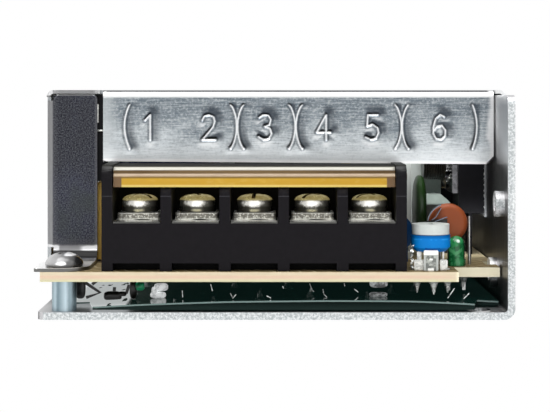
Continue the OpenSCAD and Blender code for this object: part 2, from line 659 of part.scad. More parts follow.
module output_choke_base() color([0.72, 0.74, 0.74]) on_board(trimmer_x + 1.6, choke_d - 3) {
  along_y(0, 7.5) polygon([[0, 0], [4.6, 0], [4.6, 9.2], [3, 10.6], [0, 10.6]]);
  translate([0, 6.5, 10]) cube([3.6, 1, coil_z - 10 + 3]);
}

module output_choke_winding() color([0.12, 0.1, 0.09]) on_board(trimmer_x + 1.5, choke_d)
  translate([0, 0, coil_z]) rotate([0, 90, 0]) union() {
    cylinder(h = 4, d = 6);
    for (k = [0:9])
      translate([0, 0, 0.2 + k * 0.4]) rotate_extrude() translate([3.3, 0]) circle(0.195, $fn = 12);
  }

module sleeved_capacitor(d, h) difference() {
  cylinder(h = h, d = d);
  translate([0, 0, h - 0.4]) cylinder(h = 1, d = d - 1.6);
  translate([0, 0, 1.8]) rotate_extrude() translate([d / 2 + 0.3, 0]) circle(0.7);
}

module output_capacitors() color([0.6, 0.62, 0.64]) {
  on_board(output_x, 23) sleeved_capacitor(output_cap_d, output_cap_h);
  on_board(output_x, 35) sleeved_capacitor(output_cap_d, output_cap_h);
  on_board(output_x + 6.9, 44) sleeved_capacitor(output_cap_d, output_cap_h);
}

module small_capacitors() color([0.12, 0.13, 0.2]) {
  on_board(block_x + 14, 88) sleeved_capacitor(6.3, 11);
  on_board(trimmer_x + 2, 85) sleeved_capacitor(6.3, 11);
}

// Dual in-line package with n leads on each side
module dip(n) {
  w = n * 2.54;
  translate([-w / 2, -3.2, 0.6]) cube([w, 6.4, 3.2]);
  for (k = [0:n - 1], s = [-1, 1])
    translate([-w / 2 + 1.27 + k * 2.54 - 0.25, s * 3.4 - 0.2, 0]) cube([0.5, 0.4, 2.2]);
}

module controller_chip() color([0.1, 0.1, 0.1]) on_board(core_x - 2, 93) dip(4);

module optocoupler() color([0.1, 0.1, 0.1]) on_board(core_x + 12, 93) dip(2);

resistor_spots = [[block_x + 24, 40], [block_x + 24, 48], [block_x + 12, 95], [core_x - 2, 51]];

module resistors() color([0.75, 0.65, 0.45]) for (p = resistor_spots) on_board(p[0], p[1]) {
  translate([0, 0, 1.3]) rotate([0, 90, 0]) cylinder(h = 6.4, d = 2.5);
  for (x = [-1, 7]) translate([x - 0.3, -0.3, 0]) cube([0.6, 0.6, 1.6]);
  translate([-1.3, -0.3, 1]) cube([9, 0.6, 0.6]);
}

module solder_joint(r) rotate([180, 0, 0]) cylinder(h = 1.1, r1 = r, r2 = 0.5);

// Share of the case width from the centre, and d back from the front edge
solder_spots = [[-0.333, 24], [-0.333, 34], [-0.23, 20], [-0.141, 21], [-0.038, 28], [0.077, 28],
  [0.026, 44], [-0.102, 46], [-0.333, 60], [-0.205, 62], [-0.051, 56], [0.077, 56], [-0.051, 78],
  [0.077, 78], [0.205, 56], [0.205, 23], [0.269, 35], [0.333, 43], [0.435, 30], [0.435, 65],
  [0.128, 90], [-0.154, 88]];

module solder_joints() color("silver") {
  for (i = [1:poles]) translate([bay_x(i), 0, 0]) difference() {
    translate([0, tab_y + 0.45, board_z]) rotate([180, 0, 0]) cylinder(h = 1.2, r1 = 3, r2 = 2.2);
    block([-2 - fit / 2, tab_y - fit / 2, 0], [2 + fit / 2, tab_y + 0.9 + fit / 2, board_top]);
  }
  for (p = lead_holes) translate([p[0], front_y + p[1], board_z]) difference() {
    solder_joint(1.2);
    if (p[0] > lamp_x - 2) cube([0.55, 0.55, 9], center = true);
    else cylinder(h = 9, d = 0.85, center = true, $fn = 16);
  }
  for (p = solder_spots) translate([p[0] * case_w, front_y + p[1], board_z]) solder_joint(1.1);
}

base_chassis();
mesh_cover();
insulating_film();
circuit_board();
standoffs();
board_screws();
cover_screws();
terminal_block();
terminal_plates();
terminal_cover();
clamp_washer(1);  // clamp_washer_1
clamp_washer(2);  // clamp_washer_2
clamp_washer(3);  // clamp_washer_3
clamp_washer(4);  // clamp_washer_4
clamp_washer(5);  // clamp_washer_5
clamp_screw(1);  // clamp_screw_1
clamp_screw(2);  // clamp_screw_2
clamp_screw(3);  // clamp_screw_3
clamp_screw(4);  // clamp_screw_4
clamp_screw(5);  // clamp_screw_5
trimmer_body();
trimmer_rotor();
trimmer_legs();
status_lamp();
lamp_leads();
disc_capacitor();
disc_capacitor_leads();
film_capacitor();
line_filter_capacitor();
fuse_tube();
fuse_ends();
line_choke_core();
line_choke_windings();
inrush_limiter();
safety_capacitors();
bridge_rectifier();
bulk_capacitor();
transformer_core();
transformer_bobbin();
transformer_winding();
switching_transistor();
output_rectifier();
insulator_pads();
clamp_bars();
output_choke_base();
output_choke_winding();
output_capacitors();
small_capacitors();
controller_chip();
optocoupler();
resistors();
solder_joints();
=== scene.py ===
import json
import math

import bmesh
import bpy
import numpy as np
from mathutils import Matrix, Vector

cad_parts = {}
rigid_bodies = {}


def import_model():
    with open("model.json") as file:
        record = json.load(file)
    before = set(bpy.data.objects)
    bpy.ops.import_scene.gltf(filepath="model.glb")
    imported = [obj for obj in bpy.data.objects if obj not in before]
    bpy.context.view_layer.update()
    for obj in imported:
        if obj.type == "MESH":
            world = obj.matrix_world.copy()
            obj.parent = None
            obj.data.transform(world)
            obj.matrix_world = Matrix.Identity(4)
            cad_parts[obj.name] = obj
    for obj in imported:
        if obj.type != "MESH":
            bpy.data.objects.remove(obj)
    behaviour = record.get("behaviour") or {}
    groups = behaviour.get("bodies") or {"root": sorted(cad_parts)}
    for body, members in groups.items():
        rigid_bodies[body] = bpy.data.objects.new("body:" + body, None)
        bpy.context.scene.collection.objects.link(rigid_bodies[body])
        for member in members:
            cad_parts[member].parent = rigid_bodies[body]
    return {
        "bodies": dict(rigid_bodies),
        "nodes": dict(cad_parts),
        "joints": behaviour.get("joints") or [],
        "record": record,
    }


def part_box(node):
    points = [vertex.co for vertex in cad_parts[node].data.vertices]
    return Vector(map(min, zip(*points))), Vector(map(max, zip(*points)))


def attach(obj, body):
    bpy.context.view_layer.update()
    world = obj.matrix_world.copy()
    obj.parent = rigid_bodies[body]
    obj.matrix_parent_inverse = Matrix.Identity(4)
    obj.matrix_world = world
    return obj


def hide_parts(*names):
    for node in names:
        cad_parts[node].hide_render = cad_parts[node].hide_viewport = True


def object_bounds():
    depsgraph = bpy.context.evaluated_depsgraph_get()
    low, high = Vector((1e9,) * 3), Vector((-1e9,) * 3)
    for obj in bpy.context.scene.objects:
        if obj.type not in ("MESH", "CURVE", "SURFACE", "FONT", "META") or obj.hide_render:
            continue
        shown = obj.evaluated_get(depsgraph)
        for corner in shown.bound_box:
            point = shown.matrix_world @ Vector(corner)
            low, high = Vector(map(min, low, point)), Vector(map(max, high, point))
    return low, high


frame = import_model()
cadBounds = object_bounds()
nodes = frame["nodes"]
mm = 0.001


# An output socket. Python's operators on it add Math nodes to the same tree.
class Wire:
    def __init__(self, tree, socket):
        self.tree = tree
        self.socket = socket

    def maths(self, operation, first, second):
        return self.tree.maths(operation, first, second)

    def __add__(self, other):
        return self.maths("ADD", self, other)

    __radd__ = __add__

    def __sub__(self, other):
        return self.maths("SUBTRACT", self, other)

    def __rsub__(self, other):
        return self.maths("SUBTRACT", other, self)

    def __mul__(self, other):
        return self.maths("MULTIPLY", self, other)

    __rmul__ = __mul__

    def __truediv__(self, other):
        return self.maths("DIVIDE", self, other)

    def __rtruediv__(self, other):
        return self.maths("DIVIDE", other, self)

    def __pow__(self, other):
        return self.maths("POWER", self, other)

    def __gt__(self, other):
        return self.maths("GREATER_THAN", self, other)

    def __lt__(self, other):
        return self.maths("LESS_THAN", self, other)

    def __abs__(self):
        return self.maths("ABSOLUTE", self, 0)

    # 0 below low, 1 above high, smooth between
    def step(self, low, high, toLow=0.0, toHigh=1.0):
        return self.tree.add("ShaderNodeMapRange", {"interpolation_type": "SMOOTHSTEP"},
                             {0: self, 1: low, 2: high, 3: toLow, 4: toHigh})

    def fall(self, low, high):
        return self.step(low, high, 1, 0)


# A node tree, shader or geometry, and the one way in which nodes are added to it
class Tree:
    def __init__(self, nodeTree):
        self.nodeTree = nodeTree

    def add(self, kind, settings=None, values=None, output=0):
        node = self.nodeTree.nodes.new(kind)
        for name, value in (settings or {}).items():
            if name == "stops":
                self.setStops(node.color_ramp, value)
            elif name == "profile":
                self.setProfile(node.mapping, value)
            else:
                setattr(node, name, value)
        for name, value in (values or {}).items():
            if isinstance(value, Wire):
                self.nodeTree.links.new(value.socket, node.inputs[name])
            else:
                node.inputs[name].default_value = value
        return Wire(self, node.outputs[output])

    def maths(self, operation, first, second=0.0):
        return self.add("ShaderNodeMath", {"operation": operation}, {0: first, 1: second})

    def setStops(self, ramp, stops):
        while len(ramp.elements) < len(stops):
            ramp.elements.new(0.5)
        for element, (position, level) in zip(ramp.elements, stops):
            element.position = position
            element.color = (level, level, level, 1)

    # Points of a float curve, joined by straight lines
    def setProfile(self, mapping, points):
        curve = mapping.curves[0]
        while len(curve.points) < len(points):
            curve.points.new(0.5, 0.5)
        for point, (along, height) in zip(curve.points, points):
            point.location = (along, height)
            point.handle_type = "VECTOR"
        mapping.update()


# A Principled material. Constants go on the shader's own sockets.
class Finish(Tree):
    def __init__(self, name, **constants):
        self.material = bpy.data.materials.new(name)
        self.material.use_nodes = True
        Tree.__init__(self, self.material.node_tree)
        self.nodeTree.nodes.clear()
        self.shader = self.nodeTree.nodes.new("ShaderNodeBsdfPrincipled")
        output = self.nodeTree.nodes.new("ShaderNodeOutputMaterial")
        self.nodeTree.links.new(self.shader.outputs[0], output.inputs[0])
        for key, value in constants.items():
            socket = self.shader.inputs[key.replace("_", " ")]
            socket.default_value = (*value, 1) if isinstance(value, tuple) else value
        self.place = self.add("ShaderNodeTexCoord", output="Object")

    def feed(self, name, wire):
        self.nodeTree.links.new(wire.socket, self.shader.inputs[name])

    def axes(self):
        return [self.add("ShaderNodeSeparateXYZ", {}, {0: self.place}, axis) for axis in range(3)]

    # Noise in features per millimetre; stretch scales each axis
    def noise(self, perMm, detail=2.0, roughness=0.5, stretch=(1, 1, 1)):
        scaled = self.add("ShaderNodeMapping", {"vector_type": "POINT"}, {"Vector": self.place, "Scale": stretch})
        return self.add("ShaderNodeTexNoise", {}, {"Vector": scaled, "Scale": perMm * 1000,
                                                   "Detail": detail, "Roughness": roughness})

    # A mix of two colours, in which a lone number is a grey
    def blend(self, factor, first, second):
        colours = {6: first, 7: second}
        for socket, colour in colours.items():
            if not isinstance(colour, Wire):
                colours[socket] = (*colour, 1) if isinstance(colour, tuple) else (colour, colour, colour, 1)
        return self.add("ShaderNodeMix", {"data_type": "RGBA"}, {0: factor, **colours}, 2)

    # Each layer is a mask and the colour that it lays over what is below
    def layers(self, colour, masks):
        for mask, above in masks:
            colour = self.blend(mask, colour, above)
        return colour

    # Distance from a point of the object
    def away(self, point):
        return self.add("ShaderNodeVectorMath", {"operation": "DISTANCE"}, {0: self.place, 1: point}, 1)

    # Distance from the middle of an ellipse that is 1 wide where each share is 1
    def oval(self, across, up):
        return self.maths("SQRT", across ** 2 + up ** 2)

    def bump(self, height, distance, strength=1.0):
        self.feed("Normal", self.add("ShaderNodeBump", {}, {"Height": height, "Distance": distance * mm,
                                                            "Strength": strength}))

    # Colour, roughness and bump of the finished shader
    def worn(self, colour, roughness=None, height=None, distance=0.03, strength=0.35):
        self.feed("Base Color", colour)
        if roughness is not None:
            self.feed("Roughness", roughness)
        if height is not None:
            self.bump(height, distance, strength)
        return self

    def normal(self, axis):
        facing = self.add("ShaderNodeNewGeometry", output="Normal")
        return self.add("ShaderNodeSeparateXYZ", {}, {0: facing}, axis)


# A geometry tree with named inputs, run on a mesh of points or on nothing, and turned into a plain mesh
class Maker(Tree):
    def __init__(self, name, sizes):
        Tree.__init__(self, bpy.data.node_groups.new(name, "GeometryNodeTree"))
        sockets = self.nodeTree.interface
        sockets.new_socket("Geometry", in_out="INPUT", socket_type="NodeSocketGeometry")
        self.sockets = {key: sockets.new_socket(key, in_out="INPUT", socket_type="NodeSocketFloat") for key in sizes}
        sockets.new_socket("Geometry", in_out="OUTPUT", socket_type="NodeSocketGeometry")
        self.inputNode = self.nodeTree.nodes.new("NodeGroupInput")
        self.start = Wire(self, self.inputNode.outputs["Geometry"])
        self.size = {key: Wire(self, self.inputNode.outputs[key]) for key in sizes}

    def vector(self, x=0.0, y=0.0, z=0.0):
        return self.add("ShaderNodeCombineXYZ", {}, {0: x, 1: y, 2: z})

    def axes(self):
        place = self.add("GeometryNodeInputPosition")
        return [self.add("ShaderNodeSeparateXYZ", {}, {0: place}, axis) for axis in range(3)]

    def join(self, *parts):
        node = self.nodeTree.nodes.new("GeometryNodeJoinGeometry")
        for part in parts:
            self.nodeTree.links.new(part.socket, node.inputs[0])
        return Wire(self, node.outputs[0])

    def moved(self, geometry, translation=None, rotation=None):
        values = {"Geometry": geometry}
        if translation is not None:
            values["Translation"] = translation
        if rotation is not None:
            values["Rotation"] = rotation
        return self.add("GeometryNodeTransform", {}, values)

    def cut(self, geometry, *cutters):
        cutting = self.add("GeometryNodeMeshBoolean", {"operation": "DIFFERENCE", "solver": "EXACT"},
                           {"Mesh 1": geometry})
        for cutter in cutters:
            self.nodeTree.links.new(cutter.socket, cutting.socket.node.inputs["Mesh 2"])
        return cutting

    # A solid of revolution about Z. Corners are shares of radius and height, from the middle of its foot
    # to the middle of its top, and the thread, if there is one, winds round the stretch up to threadTop.
    def turned(self, corners, rows, around, radius, height, thread=None):
        points = list(corners)
        while len(points) < rows + 1:
            gaps = [math.dist(a, b) for a, b in zip(points[:-1], points[1:])]
            widest = gaps.index(max(gaps))
            points.insert(widest + 1, tuple((a + b) / 2 for a, b in zip(points[widest], points[widest + 1])))
        grid = self.add("GeometryNodeMeshGrid", {}, {"Size X": 1.0, "Size Y": 1.0, "Vertices X": around + 1,
                                                     "Vertices Y": rows + 1})
        across, along = self.axes()[:2]
        angle = (across + 0.5) * (2 * math.pi)
        share = along + 0.5
        out = self.add("ShaderNodeFloatCurve", {"profile": [(k / rows, point[0]) for k, point in enumerate(points)]},
                       {"Value": share}) * radius
        up = self.add("ShaderNodeFloatCurve", {"profile": [(k / rows, point[1]) for k, point in enumerate(points)]},
                      {"Value": share}) * height
        if thread is not None:
            pitch, depth, threadTop = thread
            turn = self.maths("FRACT", up / pitch - across, 0)
            valley = abs(turn - 0.5) * 2
            out = out - valley * depth * (up < threadTop) * (up > pitch * 0.4) * (out > depth * 3)
        shaped = self.add("GeometryNodeSetPosition", {}, {0: grid, "Position": self.vector(
            out * self.maths("COSINE", angle), out * self.maths("SINE", angle), up)})
        return self.add("GeometryNodeMergeByDistance", {}, {0: shaped, "Distance": 0.000002})

    def finish(self, geometry, material):
        solid = self.add("GeometryNodeRealizeInstances", {}, {0: geometry})
        done = self.add("GeometryNodeSetMaterial", {}, {0: solid, "Material": material})
        output = self.nodeTree.nodes.new("NodeGroupOutput")
        self.nodeTree.links.new(done.socket, output.inputs[0])

    def run(self, name, values, place=None, start=None, sharp=35):
        holder = placed(name + "Holder", start or bpy.data.meshes.new(name + "Holder"))
        modifier = holder.modifiers.new("build", "NODES")
        modifier.node_group = self.nodeTree
        for key, value in values.items():
            modifier[self.sockets[key].identifier] = float(value)
        bpy.context.view_layer.update()
        evaluated = holder.evaluated_get(bpy.context.evaluated_depsgraph_get())
        mesh = bpy.data.meshes.new_from_object(evaluated)
        bpy.data.objects.remove(holder)
        if place is not None:
            mesh.transform(place)
        return placed(name, mesh, sharp=sharp)


# Bends and round walls are shaded smooth, and large faces that lie square to an axis stay flat
def softenEdges(piece, angle, flatArea=0.4e-6):
    mesh = piece.data
    mesh.set_sharp_from_angle(angle=math.radians(angle))
    mesh.polygons.foreach_set("use_smooth", [face.area < flatArea or max(abs(part) for part in face.normal) < 0.9999
                                             for face in mesh.polygons])


# An object of the scene round a mesh, lamp or camera
def placed(name, data, finish=None, sharp=None):
    if finish is not None:
        data.materials.append(finish.material)
    piece = bpy.data.objects.new(name, data)
    bpy.context.scene.collection.objects.link(piece)
    if sharp is not None:
        softenEdges(piece, sharp)
    return piece


# The mesh of a shape, which is then freed
def meshOf(name, shape, outward=False):
    if outward:
        bmesh.ops.recalc_face_normals(shape, faces=shape.faces)
    mesh = bpy.data.meshes.new(name)
    shape.to_mesh(mesh)
    shape.free()
    return mesh


# A mesh of points and faces whose normals all look outward
def closedMesh(name, points, faces):
    rough = bpy.data.meshes.new(name)
    rough.from_pydata(points, [], faces)
    shape = bmesh.new()
    shape.from_mesh(rough)
    bpy.data.meshes.remove(rough)
    return meshOf(name, shape, True)


# A piece takes the place of CAD nodes on a body. The slot name is not used
def stand(piece, body, slotName, *replaced):
    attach(piece, body)
    if replaced:
        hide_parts(*replaced)
    return piece


def joinPieces(pieces):
    first = pieces[0]
    with bpy.context.temp_override(active_object=first, selected_editable_objects=pieces):
        bpy.ops.object.join()
    return first


# A CAD node's shape with the points that its faces share merged
def mergedShape(node):
    shape = bmesh.new()
    shape.from_mesh(nodes[node].data)
    bmesh.ops.remove_doubles(shape, verts=shape.verts, dist=0.000001)
    return shape


def mergedCopy(node, name):
    piece = placed(name, meshOf(name, mergedShape(node)))
    for material in nodes[node].data.materials:
        piece.data.materials.append(material)
    return piece


# Boxes of a CAD node's separate solids, in metres, from left to right
def islandBoxes(node):
    shape = mergedShape(node)
    boxes = []
    waiting = set(shape.verts)
    while waiting:
        island = []
        reached = [waiting.pop()]
        while reached:
            vertex = reached.pop()
            island.append(vertex.co.copy())
            for edge in vertex.link_edges:
                other = edge.other_vert(vertex)
                if other in waiting:
                    waiting.discard(other)
                    reached.append(other)
        boxes.append(tuple(tuple(pick(point[axis] for point in island) for axis in range(3)) for pick in (min, max)))
    shape.free()
    return sorted(boxes)


def dress(finish, *names):
    for name in names:
        mesh = nodes[name].data
        if not mesh.materials:
            mesh.materials.append(finish.material)
        for index in range(len(mesh.materials)):
            mesh.materials[index] = finish.material


def between(low, high):
    return [(a + b) / 2 for a, b in zip(low, high)]


# The middle of a box seen from above, at a height
def above(low, high, z):
    return Matrix.Translation((*between(low, high)[:2], z))


# Middle and ends of a CAD node's box, in metres
def middle(name):
    return between(*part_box(name))


def ends(name, axis):
    low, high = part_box(name)
    return low[axis], high[axis]


# Millimetre points given as X, the depth behind the front, and Z
def behindFront(points):
    return [(x, frontY / mm + depth, z) for x, depth, z in points]


frontY = cadBounds[0][1]
bayY = frontY + 0.015
boardUnder, boardTop = ends("circuit_board", 2)
print("frame loaded,", len(nodes), "nodes")

# ---- camera, light and floor
studio = {"eyeDistance": 0.257, "eyeHeight": 0.0353, "eyeAside": -0.00025, "lens": 104.8, "shiftY": -0.1927,
          "worldLevel": 0.5, "floorReach": 3.0}
# Each lamp's place, width, power and aim. Two small ones stand inside the case
lamps = {"key": ((-0.10, -0.22, 0.55), 0.5, 3.2, (0, 0, 0.015)),
         "side": ((0.6, -0.3, 0.35), 0.4, 1.2, (0, 0, 0.015)),
         "front": ((-0.15, -0.75, 0.22), 0.5, 0.5, (0, 0, 0.015)),
         "inner": ((0.0265, frontY + 0.019, 0.034), 0.008, 0.0045, (0.0255, frontY + 0.055, 0.012)),
         "low": ((0.0345, frontY + 0.024, 0.0135), 0.004, 0.0006, (0.0345, frontY + 0.06, 0.009))}


def buildStudio():
    camera = placed("camera", bpy.data.cameras.new("camera"))
    camera.location = (studio["eyeAside"], frontY - studio["eyeDistance"], studio["eyeHeight"])
    camera.rotation_euler = (math.pi / 2, 0, 0)
    camera.data.lens = studio["lens"]
    camera.data.shift_y = studio["shiftY"]
    camera.data.clip_start = 0.01
    bpy.context.scene.camera = camera

    for name, (spot, width, power, aim) in lamps.items():
        lamp = bpy.data.lights.new(name, "AREA")
        lamp.size = width
        lamp.energy = power
        holder = placed(name, lamp)
        holder.visible_glossy = name == "key"
        holder.visible_camera = False
        holder.location = spot
        holder.rotation_euler = (Vector(aim) - Vector(spot)).to_track_quat("-Z", "Y").to_euler()

    world = bpy.data.worlds.new("studio")
    world.use_nodes = True
    tree = Tree(world.node_tree)
    world.node_tree.nodes.clear()
    seen = [tree.add("ShaderNodeLightPath", output=ray) for ray in
            ("Is Camera Ray", "Is Glossy Ray", "Is Transmission Ray")]
    shown = (seen[0] + seen[1] + seen[2]) > 0.5
    level = studio["worldLevel"] + shown * (1 - studio["worldLevel"])
    shade = tree.add("ShaderNodeBackground", {}, {"Color": (1, 1, 1, 1), "Strength": level})
    end = world.node_tree.nodes.new("ShaderNodeOutputWorld")
    world.node_tree.links.new(shade.socket, end.inputs[0])
    bpy.context.scene.world = world
    bpy.context.scene.view_settings.view_transform = "Standard"

    reach = studio["floorReach"]
    floor = bpy.data.meshes.new("floor")
    floor.from_pydata([(x * reach, y * reach, 0) for x, y in ((-1, -1), (1, -1), (1, 1), (-1, 1))], [], [(0, 1, 2, 3)])
    placed("floor", floor, paleFloor())


# White to the eye, pale to everything else
def paleFloor():
    finish = Finish("paleFloor", Roughness=0.9, Specular_IOR_Level=0.0, Emission_Strength=1.0)
    seen = finish.add("ShaderNodeLightPath", output="Is Camera Ray")
    finish.feed("Base Color", finish.blend(seen, (0.93, 0.93, 0.93), (0, 0, 0)))
    finish.feed("Emission Color", finish.blend(seen, (0, 0, 0), (1, 1, 1)))
    return finish


buildStudio()
print("studio ready")

clamp = {"headRadius": 3.0, "headHeight": 2.9, "shankRadius": 1.7, "shankLength": 7.0, "pitch": 0.7,
         "threadDepth": 0.2, "slotWidth": 0.62, "slotDepth": 0.62, "crossReach": 1.5, "crossDepth": 1.2,
         "slotAngles": {1: 138, 2: 16, 3: 86, 4: 55, 5: 34}}

# ---- finishes
def zincSheet():
    # Sheet colours: top and bottom are the flap's painted reflection, edge is a painted highlight, strip and stripBlue
    # are the strip's painted dark reflection, and the strip's rim colour is a painted highlight
    sheet = {"dents": 0.2, "top": (0.145, 0.18, 0.21), "bottom": (0.60, 0.645, 0.67), "edge": (0.86, 0.87, 0.87),
             "strip": (0.036, 0.037, 0.047), "stripBlue": (0.052, 0.056, 0.082), "stripRimHighlight": (0.25, 0.25, 0.255)}
    finish = Finish("zincPlatedSheet", Metallic=1.0)
    x, y, z = finish.axes()
    brushed = finish.noise(0.10, 4, 0.65, (1, 30, 30))
    streaks = finish.noise(0.35, 3, 0.65, (1, 9, 15))
    cloud = finish.noise(0.11, 3, 0.55)
    patch = finish.noise(0.22, 2, 0.5)
    fine = finish.noise(2.2, 3, 0.7)
    inFront = y.fall(bayY + 0.0007, bayY + 0.0009)
    # The flap's colour is a painted reflection: darker near its top bend and lighter below, in clouds and fine level
    # streaks, with painted light at its left margin and along its foot
    height = z + (cloud - 0.5) * 0.010 + (patch - 0.5) * 0.004
    flap = finish.blend(height.fall(0.0258, 0.0345), sheet["top"], sheet["bottom"])
    flap = finish.layers(flap, [
        (brushed.step(0.38, 0.68) * 0.30, (0.70, 0.73, 0.74)),
        (streaks.step(0.47, 0.62) * 0.42, (0.14, 0.17, 0.19)),
        (streaks.step(0.48, 0.34) * 0.42, (0.76, 0.79, 0.80)),
        (fine.step(0.48, 0.66) * 0.36, (0.78, 0.80, 0.81)),
        (fine.step(0.46, 0.32) * 0.36, (0.10, 0.12, 0.14)),
        (x.fall(-0.0290, -0.0262) * 0.6, (0.55, 0.58, 0.59)),
        ((z + (cloud - 0.5) * 0.003).fall(0.0250, 0.0282) * 0.6, (0.90, 0.93, 0.94))])
    # Grooves get a painted bright line with a painted dark border, in the painted shade of the dent that surrounds
    # them, and a painted highlight runs along the top bend
    light = finish.add("ShaderNodeAttribute", {"attribute_name": "strokeLight"}, output=2)
    shade = finish.add("ShaderNodeAttribute", {"attribute_name": "strokeShade"}, output=2)
    flap = finish.layers(flap, [
        (shade.step(0.0, 1.0, 0, 0.9), (0.045, 0.055, 0.07)),
        (light.step(0.1, 0.9), (0.93, 0.94, 0.95)),
        (z.step(0.03560, 0.03590), sheet["edge"])])
    # Faces that look up get painted shade, and the strip's top gets painted light patches
    stripTopLight = fine.step(0.46, 0.56) * x.step(-0.0285, -0.0295)
    topShade = finish.blend(stripTopLight, (0.12, 0.12, 0.125), 0.60)
    flap = finish.blend(finish.normal(2).step(0.50, 0.75), flap, topShade)
    # Painted highlights along the flap's lower edge and at its right end
    lowEdgeHighlight = z + (x - 0.0369) * 0.0075
    flap = finish.blend(lowEdgeHighlight.fall(0.02465, 0.02505), flap, 1.0)
    rightEndHighlight = (x + (cloud - 0.5) * 0.004).step(0.0357, 0.0364)
    flap = finish.blend(rightEndHighlight * 0.8, flap, sheet["edge"])
    onStrip = inFront * x.fall(-0.0303, -0.0300)
    # The strip's rims and ends get painted highlights
    leftRimHighlight = x.fall(-0.03825, -0.03785) * 0.9 + x.fall(-0.0379, -0.0366) * 0.22
    rim = leftRimHighlight + z.step(0.03605, 0.03612) * 1.2
    rim = rim + x.step(-0.03105, -0.03070) * 0.28
    bothEnds = x.step(-0.0366, -0.0374) + x.step(-0.0340, -0.0318)
    rim = rim + (z + (patch - 0.5) * 0.001).fall(0.0104, 0.0110) * z.step(0.0095, 0.0098) * (0.9 + bothEnds * 2)
    # The strip's dark blue-grey is a painted reflection, darker lower down, with fine grain and painted light near its
    # low bend
    tint = finish.noise(0.14, 2, 0.6, (1, 1, 0.5))
    grain = finish.noise(4.2, 2, 0.85)
    strip = finish.blend((tint * 0.75 + fine * 0.25).step(0.4, 0.6), sheet["strip"], sheet["stripBlue"])
    strip = finish.layers(strip, [
        (z.fall(0.014, 0.026) * 0.4, (0.022, 0.022, 0.029)),
        (grain.step(0.46, 0.66) * 0.9, (0.115, 0.12, 0.13)),
        (grain.step(0.47, 0.34) * 0.9, (0.004, 0.005, 0.008)),
        (tint.step(0.55, 0.75) * 0.5, (0.05, 0.058, 0.05))])
    lowBendLight = (z + (cloud - 0.5) * 0.003).fall(0.0108, 0.0128)
    strip = finish.layers(strip, [
        (lowBendLight * 0.45, (0.12, 0.12, 0.125)),
        (rim.step(0, 1), finish.blend(rim.step(1, 2.2), sheet["stripRimHighlight"], (0.72, 0.72, 0.73)))])
    # The foot is painted light at its front bend and dark behind it, with a painted highlight at its left and painted
    # shade at its lower edge; above it the strip carries a band of painted shadow
    foot = finish.blend(y.step(frontY + 0.0105, frontY + 0.0125), (0.74, 0.71, 0.65), 0.09)
    foot = finish.layers(foot, [
        (fine.step(0.45, 0.7) * 0.5, (0.50, 0.50, 0.48)),
        (x.fall(-0.0372, -0.0366), 0.93),
        (z.fall(0.0082, 0.0083), (0.16, 0.16, 0.155))])
    strip = finish.layers(strip, [
        (z.step(0.0084, 0.0087) * z.step(0.0100, 0.0096), 0.014),
        (z.fall(0.0083, 0.0086), foot)])
    ground = finish.blend(cloud, (0.36, 0.385, 0.40), (0.50, 0.52, 0.53))
    ground = finish.blend(brushed.step(0.35, 0.8) * 0.22, ground, (0.56, 0.58, 0.60))
    colour = finish.blend(inFront, ground, flap)
    colour = finish.blend(onStrip, colour, strip)
    # Edges that face into the gap beside the strip get painted shade
    gapEdgeShade = inFront * abs(finish.normal(0)).step(0.85, 0.95)
    gapEdgeShade = gapEdgeShade * x.step(-0.028, -0.0285) * x.step(-0.0370, -0.0365) * z.step(0.010, 0.011)
    colour = finish.blend(gapEdgeShade, colour, 0.03)
    return finish.worn(colour,
                       0.24 + brushed * 0.12 + fine * 0.06,
                       brushed * 0.05 + cloud * 0.9 + fine * 0.02, sheet["dents"], 0.5)


def rolledAluminium():
    finish = Finish("rolledAluminium")
    x, y, z = finish.axes()
    rolled = finish.noise(0.12, 3, 0.6, (20, 1, 20))
    upright = finish.noise(0.5, 3, 0.7, (6, 6, 0.25))
    speckle = finish.noise(2.4, 3, 0.75)
    sheared = abs(finish.normal(1)).step(0.9, 0.95)
    plain = finish.blend(rolled, (0.50, 0.50, 0.51), (0.56, 0.56, 0.57))
    # The inside of the wall is in the shade below its bright top
    inside = finish.normal(0).fall(-0.9, -0.7)
    slope = z - (y - frontY) * 0.35
    wall = finish.blend(slope.step(0.0215, 0.0275), (0.10, 0.095, 0.10), (0.60, 0.60, 0.61))
    wall = finish.blend(upright.step(0.5, 0.8) * 0.35, wall, (0.75, 0.75, 0.76))
    plain = finish.blend(inside, plain, wall)
    # Painted shade on the base's floor under the film
    plain = finish.blend(y.step(frontY + 0.006, frontY + 0.018) * z.fall(0.0013, 0.0016),
                         plain, (0.10, 0.11, 0.115))
    # The screw bosses at the right are painted light, almost white low down, though they stand in shade
    litBoss = x.fall(0.0362, 0.0369) * x.step(0.034, 0.0342) * z.step(0.005, 0.0055)
    plain = finish.layers(plain, [
        (litBoss, finish.blend(speckle.step(0.35, 0.6), (0.42, 0.42, 0.43), (0.90, 0.90, 0.91))),
        (litBoss * z.step(0.0110, 0.0100), (0.97, 0.98, 0.97))])
    # A painted light patch on the base's top near the right front corner
    bright = finish.away((0.0328, frontY + 0.00175, 0.0015)).step(0.0019, 0.0016)
    plain = finish.blend(bright, plain, (0.80, 0.81, 0.81))
    edge = finish.blend(speckle.step(0.42, 0.6), (0.40, 0.43, 0.44), (0.72, 0.74, 0.745))
    edge = finish.blend(upright.step(0.5, 0.75) * 0.6, edge, (0.84, 0.85, 0.85))
    finish.feed("Base Color", finish.blend(sheared, plain, edge))
    finish.feed("Metallic", 1 - (sheared + litBoss + bright).step(0, 1) * 0.6)
    finish.feed("Roughness", 0.35 + sheared * 0.28 + rolled * 0.04)
    finish.bump(speckle * sheared * 0.8 + rolled * 0.0008 + litBoss * speckle * 0.8, 0.06, 0.5)
    return finish


